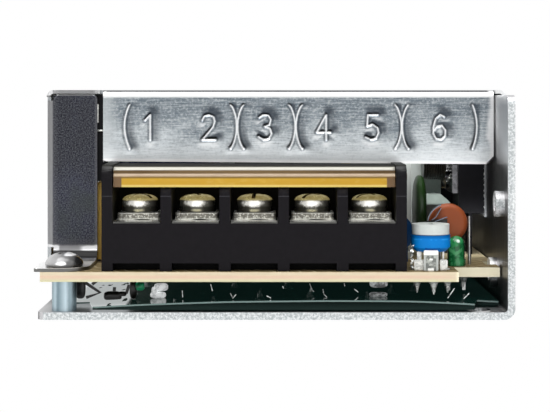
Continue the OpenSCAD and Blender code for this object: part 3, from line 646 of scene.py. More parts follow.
def boardLaminate():
    finish = Finish("boardLaminate", Roughness=0.75, Specular_IOR_Level=0.2)
    x, y, z = finish.axes()
    low, high = boardUnder, boardTop
    fibre = finish.noise(0.7, 4, 0.7, (0.4, 1, 5))
    top = z.step(high - 0.00005, high - 0.00001)
    under = z.fall(low + 0.00008, low + 0.00016) * finish.normal(2).step(-0.4, -0.6)
    core = abs(z - (low + high) / 2).fall(0.0001, 0.0004)
    edge = finish.blend(fibre, (0.60, 0.49, 0.34), (0.76, 0.67, 0.50))
    edge = finish.layers(edge, [
        (core * 0.55 * x.fall(0.026, 0.030), (0.70, 0.47, 0.36)),
        (z.fall(low + 0.0002, low + 0.00045) * 0.5, (0.60, 0.62, 0.36)),
        # Towards the right the edge is painted lighter, against the wall's shade
        (x.step(0.0286, 0.0294), finish.blend(fibre, (0.95, 0.86, 0.62), (1.0, 0.95, 0.74)))])
    mottled = finish.blend(finish.noise(0.35, 4, 0.75), (0.10, 0.07, 0.03), (0.27, 0.205, 0.10))
    # Faint traces show through the lacquer as thin light lines
    wander = finish.noise(0.16, 1, 0.4)
    line = abs(finish.maths("FRACT", (x + y * 0.6 + wander * 0.004) * 420) - 0.5)
    mottled = finish.blend(line.step(0.05, 0.11, 0.6, 0), mottled, (0.46, 0.40, 0.25))
    # The board's far right is painted light, where it lies in shade
    far = y.step(frontY + 0.012, frontY + 0.05) * x.step(0.024, 0.026)
    mottled = finish.blend(far, mottled, (0.85, 0.75, 0.50))
    colour = finish.blend(top, edge, mottled)
    return finish.worn(finish.blend(under, colour, (0.012, 0.022, 0.012)), None, fibre, 0.04, 0.4)


def darkPlastic(name, colour, roughness, grain=1.2, shine=0.2):
    finish = Finish(name, Roughness=roughness, Specular_IOR_Level=shine)
    mottle = finish.noise(grain, 3, 0.6)
    return finish.worn(finish.blend(mottle, colour, tuple(min(1, part * 1.3 + 0.002) for part in colour)),
                       roughness - 0.06 + mottle * 0.12, mottle, 0.02, 0.35)


def blockPlastic():
    finish = Finish("blockPlastic", Roughness=0.5, Specular_IOR_Level=0.08)
    y, z = finish.axes()[1:]
    mottle = finish.noise(1.0, 3, 0.6)
    colour = finish.blend(mottle, (0.0062, 0.0055, 0.0068), (0.0100, 0.0090, 0.0108))
    # Upward faces at the top get a painted highlight
    upwardHighlight = finish.normal(2).step(0.35, 0.8) * z.step(0.0235, 0.0240)
    colour = finish.blend(upwardHighlight, colour, 0.07)
    joint = abs(z - 0.0198).fall(0.00004, 0.00009)
    colour = finish.blend(joint * 0.35, colour, (0.09, 0.09, 0.10))
    # Inside the bays behind the front the plastic is painted as shade: almost black low down, dark olive higher up
    inner = y.step(frontY + 0.0016, frontY + 0.0026)
    shaded = finish.blend(z.step(0.0150, 0.0154), 0.0025, (0.009, 0.008, 0.005))
    return finish.worn(finish.blend(inner, colour, shaded), 0.45 + mottle * 0.12, mottle, 0.02, 0.3)


def dippedResin(name, colour, roughness=0.22, shine=0.4):
    finish = Finish(name, Roughness=roughness, Coat_Weight=0.15, Coat_Roughness=0.12, Specular_IOR_Level=shine)
    sway = finish.noise(0.25, 2, 0.5)
    return finish.worn(finish.blend(sway, tuple(part * 0.82 for part in colour), colour), None, sway, 0.12, 0.35)


# Plated metal: a painted highlight colour on what faces up, a darker colour on its sides, and dark scuffs
def platedMetal(name, side, top, roughness=0.2, grain=0.9, scuffs=0.5, metal=1.0):
    finish = Finish(name, Metallic=metal)
    scuff = finish.noise(grain, 3, 0.65)
    upwardHighlight = finish.normal(2).step(0.25, 0.8)
    colour = finish.blend(upwardHighlight, side, top)
    colour = finish.blend(scuff.step(0.42, 0.66) * scuffs, colour, tuple(part * 0.3 for part in side))
    return finish.worn(colour, roughness - 0.05 + scuff * 0.16, scuff, 0.03, 0.35)


# Painted reflections on a round standing piece: light and dark bands that run up and down
def bandedMetal(name, dark, light, roughness=0.25):
    finish = Finish(name, Metallic=1.0)
    scuff = finish.noise(0.9, 3, 0.65)
    across = finish.normal(0)
    bands = finish.add("ShaderNodeValToRGB", {"stops": [(0.0, 0.1), (0.18, 0.75), (0.3, 0.2), (0.47, 0.55),
                       (0.62, 0.95), (0.75, 0.35), (0.9, 0.6), (1.0, 0.05)]},
                       {0: (across + 1) / 2 + (scuff - 0.5) * 0.06})
    return finish.worn(finish.blend(bands, dark, light), roughness - 0.05 + scuff * 0.16, scuff, 0.03, 0.35)


# Clamp screws: a warm domed top, a painted highlight spot in front and a smaller one low down, and painted shade round
# the sides and near the foot
def clampNickel():
    finish = Finish("clampNickel", Metallic=0.45, Specular_IOR_Level=0.3, Emission_Strength=1.0)
    z = finish.axes()[2]
    foot = ends("clamp_screw_1", 2)[1] - clamp["headHeight"] * mm
    scuff = finish.noise(0.8, 3, 0.65)
    fine = finish.noise(2.6, 2, 0.6)
    across = finish.normal(0) + (scuff - 0.5) * 0.35
    up = (z - foot) / mm + (scuff - 0.5) * 0.35
    away = abs(across)
    side = finish.blend(away.step(0.5, 0.95), (0.36, 0.35, 0.30), (0.10, 0.095, 0.08))
    side = finish.layers(side, [
        (across.fall(-0.95, -0.55) * 0.8, (0.26, 0.26, 0.23)),
        (up.fall(0.75, 1.15) * 0.75, (0.06, 0.058, 0.045))])
    spot = finish.oval((across + 0.1) * 1.304, (up - 1.5) * 1.378) + (fine - 0.5) * 0.7
    spotLight = spot.fall(0.45, 0.95)
    side = finish.blend(spotLight, side, (1.0, 0.99, 0.96))
    lowSpot = finish.oval((across + 0.02) * 2.236, (up - 0.35) * 3)
    side = finish.blend(lowSpot.fall(0.3, 0.9) * 0.8, side, (0.62, 0.58, 0.38))
    gold = finish.blend((scuff * 0.7 + fine * 0.3).step(0.42, 0.6), (0.74, 0.58, 0.22), (1.0, 0.93, 0.50))
    gold = finish.blend(up.fall(2.0, 2.3) * 0.7, gold, (0.95, 0.90, 0.58))
    colour = finish.blend(up.step(1.85, 2.05), side, gold)
    # The slots are in their own shade
    inSlot = finish.normal(2).step(0.985, 0.995) * z.step(foot + 0.00262, foot + 0.00255)
    inSlot = inSlot + z.step(foot + 0.0019, foot + 0.0020) * finish.normal(2).step(0.05, 0.0)
    colour = finish.blend(inSlot.step(0, 1), colour, (0.30, 0.22, 0.08))
    finish.feed("Base Color", colour)
    # The spot and the top also glow by emission, which is painted light
    onTop = up.step(1.85, 2.05)
    glow = finish.blend(onTop, finish.blend(spotLight, 0, (0.42, 0.41, 0.38)),
                        finish.blend(scuff, (0.10, 0.075, 0.02), (0.24, 0.20, 0.085)))
    finish.feed("Emission Color", finish.blend(inSlot.step(0, 1), glow, 0))
    finish.feed("Roughness", 0.2 + scuff * 0.12)
    finish.bump(scuff + fine * 0.4, 0.03, 0.3)
    return finish


def washerNickel():
    finish = Finish("washerNickel", Metallic=0.5)
    z = finish.axes()[2]
    low, high = ends("clamp_washer_1", 2)
    chip = finish.add("ShaderNodeTexVoronoi", {}, {"Vector": finish.place, "Scale": 3000.0})
    scuff = finish.noise(1.8, 3, 0.7)
    colour = finish.blend((scuff * 0.7 + chip * 0.5).step(0.42, 0.62), (0.86, 0.85, 0.77), (0.26, 0.25, 0.215))
    # Painted highlights along the top rim and along the foot
    rim = (z + (scuff - 0.5) * 0.0002).step(high - 0.00022, high - 0.00012)
    colour = finish.layers(colour, [
        (rim * 0.85, (1.0, 1.0, 0.94)),
        ((z + (scuff - 0.5) * 0.0006).fall(low + 0.0001, low + 0.0004), (0.98, 0.98, 0.90))])
    return finish.worn(colour, 0.3 + scuff * 0.15, scuff + chip, 0.05, 0.5)


# Clamp plates: bright, with wavy dark reflections along the front
def plateTin():
    finish = Finish("plateTin", Metallic=0.5)
    y = finish.axes()[1]
    wave = finish.noise(0.5, 2, 0.5, (1, 0.6, 3))
    colour = finish.blend(wave.step(0.40, 0.47), (0.07, 0.066, 0.056), (0.98, 0.98, 0.94))
    ahead = y.step(frontY + 0.0016, frontY + 0.0013)
    colour = finish.blend(ahead, colour, finish.blend(wave, (0.03, 0.03, 0.028), (0.14, 0.14, 0.13)))
    return finish.worn(colour, 0.2 + wave * 0.1)


hood = {"knuckleDrop": 0.5, "skirtFoot": 21.4, "shownFoot": 21.24}


def amberPlastic():
    finish = Finish("amberPlastic", Roughness=0.2, IOR=1.5, Transmission_Weight=0.2, Specular_IOR_Level=0.25)
    x, z = finish.axes()[::2]
    low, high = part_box("terminal_cover")
    swirl = finish.noise(0.16, 2, 0.5, (0.4, 1, 1))
    speck = finish.noise(1.2, 3, 0.6, (0.4, 1, 1))
    # The skirt is amber: its middle is painted a glowing yellow, as light through it, and its ends are painted brown,
    # as shade where the side walls stand behind the front
    inner = x.step(low[0] + 0.00400, low[0] + 0.00415) * x.fall(high[0] - 0.00415, high[0] - 0.0040)
    skirt = finish.blend(swirl, (0.55, 0.30, 0.016), (0.68, 0.41, 0.036))
    skirt = finish.blend(speck.step(0.5, 0.7) * 0.25, skirt, (0.72, 0.50, 0.10))
    foot = low[2] + hood["knuckleDrop"] * mm
    # A painted highlight runs along the skirt's foot, and above it the skirt is painted dark brown as shade
    skirt = finish.layers(skirt, [
        (z.fall(foot + 0.0001, foot + 0.0003), (0.76, 0.58, 0.16)),
        (z.step(foot + 0.00118, foot + 0.00132), (0.26, 0.16, 0.035))])
    brown = finish.blend(swirl, (0.15, 0.085, 0.035), (0.24, 0.14, 0.07))
    colour = finish.blend(inner, brown, skirt)
    # Above the ledge a brown band of painted shade; the ledge and the bevel carry painted highlights, and the top is
    # painted dark as shade
    band = finish.blend(swirl.step(0.3, 0.7), (0.115, 0.066, 0.024), (0.19, 0.12, 0.05))
    colour = finish.blend(z.step(foot + 0.00196, foot + 0.00202), colour, band)
    ledge = z.step(foot + 0.00146, foot + 0.00158) * z.step(foot + 0.00204, foot + 0.00198)
    colour = finish.blend(ledge, colour, finish.blend(speck, (0.36, 0.25, 0.14), (0.56, 0.42, 0.28)))
    bevel = z.step(high[2] - 0.00078, high[2] - 0.00060)
    colour = finish.blend(bevel, colour, (0.70, 0.68, 0.60))
    onTop = z.step(high[2] - 0.00030, high[2] - 0.00012)
    hoodTopShade = finish.blend(finish.normal(2).step(0.90, 0.97), (0.045, 0.042, 0.032), (0.001, 0.0006, 0.0))
    colour = finish.blend(onTop, colour, hoodTopShade)
    return finish.worn(colour, 0.2 + onTop * 0.8, swirl, 0.1, 0.25)


# Bare metal broken into dark gaps and light beads, which are painted glints
def beadedMetal():
    finish = Finish("beadedTin", Metallic=0.6, Roughness=0.3)
    beads = finish.noise(1.9, 2, 0.7)
    return finish.worn(finish.blend(beads.step(0.47, 0.56), (0.06, 0.065, 0.06), (0.95, 0.96, 0.92)),
                       None, beads, 0.1, 0.6)


# Tin on the trimmer legs: bright shoulders, and a darker mottled field inside the tongue's raised frame. The tongue's
# top, a line across it and its middle near the board are painted highlights, and the sides below the board get painted
# shade
def embossedTin():
    finish = Finish("legTin", Metallic=0.45)
    x, y, z = finish.axes()
    centre = middle("trimmer_body")[0]
    low = ends("trimmer_body", 2)[0]
    mottle = finish.noise(1.4, 3, 0.7)
    plain = finish.blend(mottle.step(0.4, 0.6), (0.62, 0.63, 0.60), (0.98, 0.98, 0.94))
    field = finish.blend(mottle.step(0.40, 0.66), (0.17, 0.18, 0.17), (0.50, 0.52, 0.48))
    ahead = y.step(frontY + 0.0017, frontY + 0.0014)
    across = abs(x - (centre - 0.0002))
    frame = across.step(0.00080, 0.00088) + z.step(low - 0.0006, low - 0.0005)
    tongue = finish.blend(frame.step(0, 1), field, (0.50, 0.52, 0.50))
    tongue = finish.blend(z.step(low - 0.00045, low - 0.00035), tongue, (1.0, 1.0, 0.98))
    bright = across.step(0.00052, 0.00045) * z.step(boardTop + 0.0005, boardTop + 0.0004)
    bright = bright + abs(z - (low - 0.00115)).step(0.0002, 0.0001) * across.step(0.0003, 0.0002)
    tongue = finish.blend(bright.step(0, 1), tongue, (1.0, 1.0, 0.97))
    colour = finish.blend(ahead, plain, tongue)
    below = z.step(boardUnder, boardUnder - 0.0001)
    side = abs(finish.normal(0) - 0.1).step(0.35, 0.75)
    colour = finish.blend(below * side, colour, (0.05, 0.055, 0.055))
    return finish.worn(colour, 0.25 + mottle * 0.15, mottle, 0.04, 0.4)


# The lower edge of the housing is in shade, and its rim catches a little light
def trimmerBlue():
    finish = Finish("trimmerBlue", Roughness=0.4, Specular_IOR_Level=0.12)
    z = finish.axes()[2]
    low, high = ends("trimmer_body", 2)
    sway = finish.noise(0.4, 3, 0.6)
    blue = finish.blend(sway, (0.001, 0.16, 0.50), (0.004, 0.22, 0.66))
    blue = finish.blend(z.step(high - 0.0005, high - 0.0003), blue, (0.0, 0.12, 0.42))
    glint = abs(z - (high - 0.00065)).fall(0.00003, 0.00012) * sway.step(0.45, 0.55)
    blue = finish.layers(blue, [
        (glint * 0.5, (0.05, 0.42, 0.85)),
        (z.fall(low + 0.0001, low + 0.0008) * 0.45, (0.0, 0.06, 0.25))])
    return finish.worn(blue, None, sway, 0.04, 0.3)


def glassTube():
    finish = Finish("fuseGlass", Roughness=0.05, IOR=1.45, Transmission_Weight=0.9)
    finish.feed("Base Color", finish.blend(finish.noise(0.2), (0.86, 0.92, 0.92), (0.96, 0.98, 0.98)))
    return finish


# The film is dark and glossy. At its left it carries a painted reflection that also glows by emission, its front and
# rear edges get a painted highlight, and its fold in front is lighter at its foot
def thinFilm():
    finish = Finish("insulatingFilm", Roughness=0.04, Specular_IOR_Level=0.5, Emission_Strength=1.0)
    x = finish.axes()[0]
    cloud = finish.noise(0.06, 2, 0.5)
    facing = abs(finish.normal(1)).step(0.8, 0.95)
    colour = finish.blend(cloud, (0.002, 0.012, 0.010), (0.006, 0.026, 0.021))
    colour = finish.blend(facing, colour, (0.13, 0.19, 0.18))
    crumple = finish.noise(0.5, 2, 0.5, (1, 0.3, 1))
    shine = x.fall(-0.0246, -0.0239) * crumple.step(0.34, 0.38) * facing.step(0.5, 0.2)
    colour = finish.blend(shine, colour, (0.45, 0.47, 0.47))
    finish.feed("Base Color", colour)
    finish.feed("Emission Color", finish.blend(shine, (0.002, 0.0065, 0.0055), (0.40, 0.42, 0.42)))
    finish.bump(cloud, 0.3, 0.3)
    return finish


# The fold is a dark sheet that hangs under the film's front edge in place of the shade there
def filmFold():
    finish = Finish("filmFold", Roughness=0.5, Specular_IOR_Level=0.05)
    z = finish.axes()[2]
    finish.feed("Base Color", finish.blend(z.step(0.0030, 0.0016), (0.0006, 0.0035, 0.0030), (0.010, 0.020, 0.018)))
    return finish


# Small bright things in the shade under the board: mottled, and glowing a little by emission in their own colour, which
# is painted light
def shadeBright(name, colour, level, dark=0.25):
    finish = Finish(name, Roughness=0.3, Specular_IOR_Level=0.4, Emission_Strength=level)
    mottle = finish.noise(1.1, 3, 0.65)
    tone = finish.blend(mottle.step(0.40, 0.58), tuple(part * dark for part in colour), colour)
    finish.feed("Base Color", tone)
    finish.feed("Emission Color", tone)
    finish.bump(mottle, 0.1, 0.5)
    return finish


# The domed foot screw: painted light at its left, two painted highlights, and painted shade at its right and round its
# foot
def domedSteel():
    finish = Finish("domedSteel", Metallic=0.35, Roughness=0.25)
    x, z = finish.axes()[::2]
    low, high = min(islandBoxes("cover_screws"))
    scuff = finish.noise(0.8, 3, 0.6)
    across = (x - (low[0] + high[0]) / 2) / 0.0031 + (scuff - 0.5) * 0.25
    up = (z - (high[2] - 0.0024)) / 0.0024 + (scuff - 0.5) * 0.15
    tone = finish.blend(across.step(-0.9, 0.4), 0.48, 0.13)
    tone = finish.layers(tone, [
        (up.step(0.28, 0.12) * 0.85, 0.05),
        (across.step(0.45, 0.7) * up.step(0.78, 0.66), 0.02)])
    for spotAcross, spotUp, wide, tall in ((0.42, 0.88, 0.36, 0.13), (-0.04, 0.30, 0.30, 0.13)):
        far = finish.oval((across - spotAcross) / wide, (up - spotUp) / tall)
        tone = finish.blend(far.step(1.15, 0.7), tone, 1.0)
    return finish.worn(tone, None, scuff, 0.03, 0.3)


# Green resin: light catches the cup inside as a bright wedge, a painted highlight, with a painted highlight dot higher
# up and painted shade on its sides; the foot is mottled
def lampResin():
    finish = Finish("lampResin", Roughness=0.12, Specular_IOR_Level=0.5, Transmission_Weight=0.1)
    x, z = finish.axes()[::2]
    centre = middle("status_lamp")[0]
    patch = finish.noise(0.9, 3, 0.6)
    across = x - centre + (patch - 0.5) * 0.0004
    up = z - boardTop
    colour = finish.blend(patch.step(0.44, 0.56), (0.007, 0.15, 0.042), (0.035, 0.33, 0.105))
    colour = finish.blend(abs(finish.normal(0)).step(0.55, 0.95), colour, (0.003, 0.06, 0.018))
    wedge = abs(up - 0.0021 - abs(across + 0.0002) * 0.7).step(0.00045, 0.00015)
    wedge = wedge * abs(across + 0.0002).step(0.00115, 0.0009)
    colour = finish.blend(wedge * 0.85, colour, (0.11, 0.50, 0.20))
    foot = up.step(0.0013, 0.0009) * patch.step(0.48, 0.6)
    colour = finish.blend(foot * 0.7, colour, (0.06, 0.36, 0.14))
    dot = finish.away((centre + 0.0002, frontY + 0.0084, boardTop + 0.0042)).step(0.0004, 0.0002)
    colour = finish.blend(dot, colour, (0.85, 1.0, 0.9))
    return finish.worn(colour, None, patch, 0.08, 0.4)


# The coil's stand: pale above, and dark low down where nothing lights it
def standResin():
    finish = Finish("standResin", Roughness=0.4, Specular_IOR_Level=0.3)
    z = finish.axes()[2]
    mottle = finish.noise(0.6, 3, 0.6)
    pale = finish.blend(mottle, (0.26, 0.32, 0.29), (0.46, 0.54, 0.50))
    return finish.worn(finish.blend(z.step(0.0163, 0.0168), (0.02, 0.02, 0.018), pale), None, mottle, 0.02, 0.35)


zinc = zincSheet()
blueZinc = bandedMetal("blueZinc", (0.09, 0.15, 0.18), (0.56, 0.68, 0.74), 0.3)
brightSteel = platedMetal("brightSteel", (0.20, 0.20, 0.21), (0.80, 0.80, 0.80), 0.18)
legTin = embossedTin()
glintTin = shadeBright("glintTin", (0.85, 0.88, 0.86), 0.45)
paleTape = shadeBright("paleTape", (0.80, 0.82, 0.82), 0.55, 0.6)
solderGrey = shadeBright("solderGrey", (0.40, 0.42, 0.42), 0.40)
underGreen = shadeBright("underGreen", (0.012, 0.16, 0.07), 0.5)
footSteel = domedSteel()
clearFilm = darkPlastic("clearFilm", (0.20, 0.24, 0.30), 0.15, 0.9, 0.5)
beadedTin = beadedMetal()
tinned = platedMetal("tinnedMetal", (0.62, 0.63, 0.62), (0.84, 0.84, 0.82), 0.26)
solderTin = platedMetal("solderTin", (0.50, 0.52, 0.50), (0.90, 0.90, 0.90), 0.2, 1.4, 0.6, 0.4)
clampFinish = clampNickel()
washerFinish = washerNickel()
epoxy = darkPlastic("blackEpoxy", (0.004, 0.004, 0.005), 0.5, 1.2, 0.1)

dress(zinc, "mesh_cover")
dress(rolledAluminium(), "base_chassis")
dress(boardLaminate(), "circuit_board")
filmFinish = thinFilm()
shadeFoldFinish = filmFold()
dress(filmFinish, "insulating_film")
dress(blueZinc, "standoffs")
dress(brightSteel, "board_screws", "cover_screws", "clamp_bars")
dress(blockPlastic(), "terminal_block")
dress(plateTin(), "terminal_plates")
dress(tinned, "trimmer_legs", "lamp_leads", "disc_capacitor_leads")
dress(amberPlastic(), "terminal_cover")
dress(washerFinish, *["clamp_washer_%d" % i for i in range(1, 6)])
dress(clampFinish, "fuse_ends", *["clamp_screw_%d" % i for i in range(1, 6)])
dress(trimmerBlue(), "trimmer_body")
dress(darkPlastic("trimmerGrey", (0.50, 0.53, 0.51), 0.5), "trimmer_rotor")
dress(lampResin(), "status_lamp")
dress(dippedResin("discOrange", (0.36, 0.085, 0.026), 0.45, 0.2), "disc_capacitor")
filmGreen = dippedResin("dippedGreen", (0.010, 0.030, 0.006), 0.3)
dress(filmGreen, "film_capacitor")
dress(darkPlastic("boxYellow", (0.56, 0.36, 0.08), 0.45, 2.5), "line_filter_capacitor")
dress(glassTube(), "fuse_tube")
dress(darkPlastic("ferrite", (0.02, 0.02, 0.022), 0.6, 2.5), "line_choke_core", "transformer_core")
copperWire = dippedResin("copperWire", (0.45, 0.16, 0.04))
dress(copperWire, "line_choke_windings")
dress(dippedResin("discDark", (0.01, 0.014, 0.01)), "inrush_limiter")
dress(dippedResin("discBlue", (0.004, 0.05, 0.16)), "safety_capacitors")
dress(epoxy, "bridge_rectifier", "switching_transistor", "output_rectifier", "controller_chip", "optocoupler")
dress(dippedResin("darkSleeve", (0.012, 0.016, 0.05)), "bulk_capacitor", "small_capacitors")
dress(darkPlastic("bobbinPlastic", (0.012, 0.012, 0.012), 0.5), "transformer_bobbin")
dress(dippedResin("yellowTape", (0.72, 0.46, 0.04), 0.35), "transformer_winding")
dress(darkPlastic("greyPad", (0.12, 0.125, 0.13), 0.7), "insulator_pads")
dress(standResin(), "output_choke_base")
darkWire = dippedResin("darkWire", (0.008, 0.007, 0.006), 0.3)
dress(darkWire, "output_choke_winding")
dress(darkPlastic("canSleeve", (0.52, 0.55, 0.53), 0.35, 0.2, 0.4), "output_capacitors")
dress(darkPlastic("resistorBody", (0.52, 0.38, 0.2), 0.5), "resistors")
dress(solderTin, "solder_joints")
print("finishes on every node")


# ---- the folded cover, with its stamped flap
stamping = {"left": -28.5, "right": 35.1, "low": 25.9, "high": 35.2, "step": 0.148, "sheet": 0.6,
            "grooveDepth": 0.24, "grooveWidth": 0.23, "dentDepth": 0.10, "dentWidth": 1.0, "shadeWidth": 1.2,
            "digitWidth": 2.5, "digitHeight": 4.2, "digitMiddle": 30.7, "bracketLow": 27.1, "bracketHigh": 34.5,
            "rim": 0.8, "borderAt": 0.36, "borderWidth": 0.18, "lightWidth": 0.14, "bracketSteps": 16,
            "rise": 0.5, "riseTop": 24.7, "riseNear": 14.5, "riseFar": 15.8, "riseLeft": -29.6, "riseRight": 37.5,
            "riseFrom": -29.45, "riseSpan": 66.35}
digits = {
    1: (-21.6, [[(0.2, 0.78), (0.55, 1), (0.55, 0)]]),
    2: (-11.5, [[(0.05, 0.78), (0.2, 0.95), (0.5, 1), (0.82, 0.92), (0.9, 0.72), (0.78, 0.5), (0.05, 0), (0.95, 0)]]),
    3: (-1.9, [[(0.08, 0.88), (0.35, 1), (0.7, 0.98), (0.88, 0.8), (0.78, 0.6), (0.45, 0.53)],
               [(0.45, 0.53), (0.82, 0.45), (0.93, 0.25), (0.75, 0.05), (0.4, 0), (0.05, 0.12)]]),
    4: (8.0, [[(0.68, 0), (0.68, 1), (0.03, 0.3), (0.97, 0.3)]]),
    5: (16.3, [[(0.88, 1), (0.2, 1), (0.14, 0.55), (0.5, 0.62), (0.85, 0.48), (0.93, 0.27), (0.75, 0.05),
                (0.4, 0), (0.05, 0.1)]]),
    6: (27.7, [[(0.82, 0.92), (0.55, 1), (0.25, 0.85), (0.08, 0.5), (0.08, 0.25), (0.28, 0.03), (0.6, 0),
                (0.88, 0.15), (0.9, 0.38), (0.68, 0.56), (0.35, 0.53), (0.1, 0.33)]])}
# Single brackets with their bulge, and the middles of the pairs that cross
brackets = [(-25.0, -0.85), (33.3, 0.75)]
crossings = [-6.7, 3.25, 21.3]


def stampStrokes():
    strokes = []
    wide, tall = stamping["digitWidth"], stamping["digitHeight"]
    for centre, lines in digits.values():
        for line in lines:
            strokes.append([(centre + (u - 0.5) * wide, stamping["digitMiddle"] + (v - 0.5) * tall) for u, v in line])
    low, high = stamping["bracketLow"], stamping["bracketHigh"]
    shares = [step / stamping["bracketSteps"] for step in range(stamping["bracketSteps"] + 1)]
    heights = [low + (high - low) * share for share in shares]
    turns = [1 - abs(2 * share - 1) ** 2 for share in shares]
    for x, bulge in brackets:
        strokes.append([(x + bulge * turn, height) for height, turn in zip(heights, turns)])
    for x in crossings:
        for side in (-1, 1):
            strokes.append([(x + side * (1.12 - 1.05 * turn ** 0.8), height) for height, turn in zip(heights, turns)])
    return strokes


# Depth of the stamping, and how light and how shaded it makes each point of the sheet
def stampField(x, z):
    nearest = np.full(x.shape, 99.0)
    for stroke in stampStrokes():
        for (x0, z0), (x1, z1) in zip(stroke[:-1], stroke[1:]):
            length = (x1 - x0) ** 2 + (z1 - z0) ** 2
            along = np.clip(((x - x0) * (x1 - x0) + (z - z0) * (z1 - z0)) / length, 0, 1)
            nearest = np.minimum(nearest, np.hypot(x - x0 - along * (x1 - x0), z - z0 - along * (z1 - z0)))
    groove = stamping["grooveDepth"] * np.exp(-(nearest / stamping["grooveWidth"]) ** 2)
    dent = stamping["dentDepth"] * np.exp(-(nearest / stamping["dentWidth"]) ** 2)
    inset = np.minimum(np.minimum(x - stamping["left"], stamping["right"] - x),
                       np.minimum(z - stamping["low"], stamping["high"] - z))
    inset = np.clip(inset / stamping["rim"], 0, 1)
    # The dent is lit from above and from the left: its lower and left slopes are light, the others dark
    broad = np.exp(-(nearest / stamping["shadeWidth"]) ** 2)
    slopeX = np.gradient(broad, x[0, 1] - x[0, 0], axis=1)
    slopeZ = np.gradient(broad, z[1, 0] - z[0, 0], axis=0)
    facing = slopeZ + 0.75 * slopeX
    border = np.exp(-((nearest - stamping["borderAt"]) / stamping["borderWidth"]) ** 2)
    light = np.exp(-(nearest / stamping["lightWidth"]) ** 2) * 0.95 + np.clip(slopeZ - 0.16, 0, 1) - border * 0.3
    shade = np.clip(-facing, 0, 1) * 1.05 + border * 0.62
    return (groove + dent) * inset, np.clip(light, 0, 1) * inset, np.clip(shade, 0, 1) * inset


# A closed sheet in metres between a grid of points in millimetres and the same grid moved by an offset
def closedSheet(name, front, offset):
    rows, columns = front.shape[:2]
    points = front.reshape(-1, 3)
    count = rows * columns
    cell = np.arange(count).reshape(rows, columns)
    a, b, c, d = (part.ravel() for part in (cell[:-1, :-1], cell[:-1, 1:], cell[1:, 1:], cell[1:, :-1]))
    faces = [*np.stack([a, b, c, d], axis=-1).tolist(), *(np.stack([d, c, b, a], axis=-1) + count).tolist()]
    rim = [*cell[0, :].tolist(), *cell[1:, -1].tolist(), *cell[-1, -2::-1].tolist(), *cell[-2:0:-1, 0].tolist()]
    faces += [(q, p, p + count, q + count) for p, q in zip(rim, rim[1:] + rim[:1])]
    return closedMesh(name, (np.concatenate([points, points + np.array(offset)]) * mm).tolist(), faces)


# The flap's middle as a closed sheet whose two faces follow the stamped depth
def stampedPlate():
    columns = int((stamping["right"] - stamping["left"]) / stamping["step"]) + 1
    rows = int((stamping["high"] - stamping["low"]) / stamping["step"]) + 1
    x, z = np.meshgrid(np.linspace(stamping["left"], stamping["right"], columns),
                       np.linspace(stamping["low"], stamping["high"], rows))
    depth, light, shade = stampField(x, z)
    front = np.stack([x, bayY / mm + depth, z], axis=-1)
    mesh = closedSheet("stampedPlate", front, (0, stamping["sheet"], 0))
    for name, field in (("strokeLight", light), ("strokeShade", shade)):
        tone = mesh.attributes.new(name, "FLOAT", "POINT")
        tone.data.foreach_set("value", np.concatenate([field.ravel(), np.zeros(field.size)]))
    return mesh


# Moves the level faces of a piece that lie at one height to another, in millimetres
def relevel(piece, old, new):
    for vertex in piece.data.vertices:
        if abs(vertex.co.z / mm - old) < 0.02:
            vertex.co.z = new * mm


def boxObject(name, low, high):
    corners = [(x, y, z) for x in (low[0], high[0]) for y in (low[1], high[1]) for z in (low[2], high[2])]
    faces = [(0, 1, 3, 2), (4, 6, 7, 5), (0, 4, 5, 1), (2, 3, 7, 6), (0, 2, 6, 4), (1, 5, 7, 3)]
    mesh = bpy.data.meshes.new(name)
    mesh.from_pydata([[part * mm for part in corner] for corner in corners], [], faces)
    return placed(name, mesh)


def carve(piece, cutter):
    modifier = piece.modifiers.new("cut", "BOOLEAN")
    modifier.operation = "DIFFERENCE"
    modifier.solver = "EXACT"
    modifier.object = cutter
    evaluated = piece.evaluated_get(bpy.context.evaluated_depsgraph_get())
    mesh = bpy.data.meshes.new_from_object(evaluated)
    piece.modifiers.clear()
    piece.data = mesh
    bpy.data.objects.remove(cutter)


def buildCover():
    piece = mergedCopy("mesh_cover", "perforatedCover")
    y = bayY / mm
    carve(piece, boxObject("window", (stamping["left"], y - 1, stamping["low"]),
                           (stamping["right"], y + 1, stamping["high"])))
    # The flap's lower edge rises a little towards the left
    near, far = frontY / mm + stamping["riseNear"], frontY / mm + stamping["riseFar"]
    for vertex in piece.data.vertices:
        x, y, z = vertex.co / mm
        if z < stamping["riseTop"] and near < y < far and stamping["riseLeft"] < x < stamping["riseRight"]:
            vertex.co.z += stamping["rise"] * mm * (1 - (x - stamping["riseFrom"]) / stamping["riseSpan"])
    softenEdges(piece, 30)
    plate = stampedPlate()
    plate.polygons.foreach_set("use_smooth", [True] * len(plate.polygons))
    plate.set_sharp_from_angle(angle=math.radians(60))
    sheet = placed("sheet", plate)
    for each in (piece, sheet):
        each.data.materials.clear()
        each.data.materials.append(zinc.material)
    return stand(joinPieces([piece, sheet]), "case", "cover_steel", "mesh_cover")


perforatedCover = buildCover()
print("cover folded and stamped,", len(perforatedCover.data.polygons), "faces")

# ---- terminal block and plates: thin plates lie on the floor of each bay
bayFloor = {"cad": 15.0, "shown": 15.42}


def buildBlock():
    block = mergedCopy("terminal_block", "terminalBlock")
    plates = mergedCopy("terminal_plates", "clampPlates")
    for piece in (block, plates):
        relevel(piece, bayFloor["cad"], bayFloor["shown"])
        softenEdges(piece, 30)
    stand(block, "case", "block_plastic", "terminal_block")
    stand(plates, "case", "tinned_metal", "terminal_plates")


def buildHood():
    piece = mergedCopy("terminal_cover", "terminalHood")
    relevel(piece, hood["skirtFoot"], hood["shownFoot"])
    softenEdges(piece, 30)
    stand(piece, "terminal_cover", "amber_plastic", "terminal_cover")


buildBlock()
buildHood()
print("terminal block, plates and hood in place")

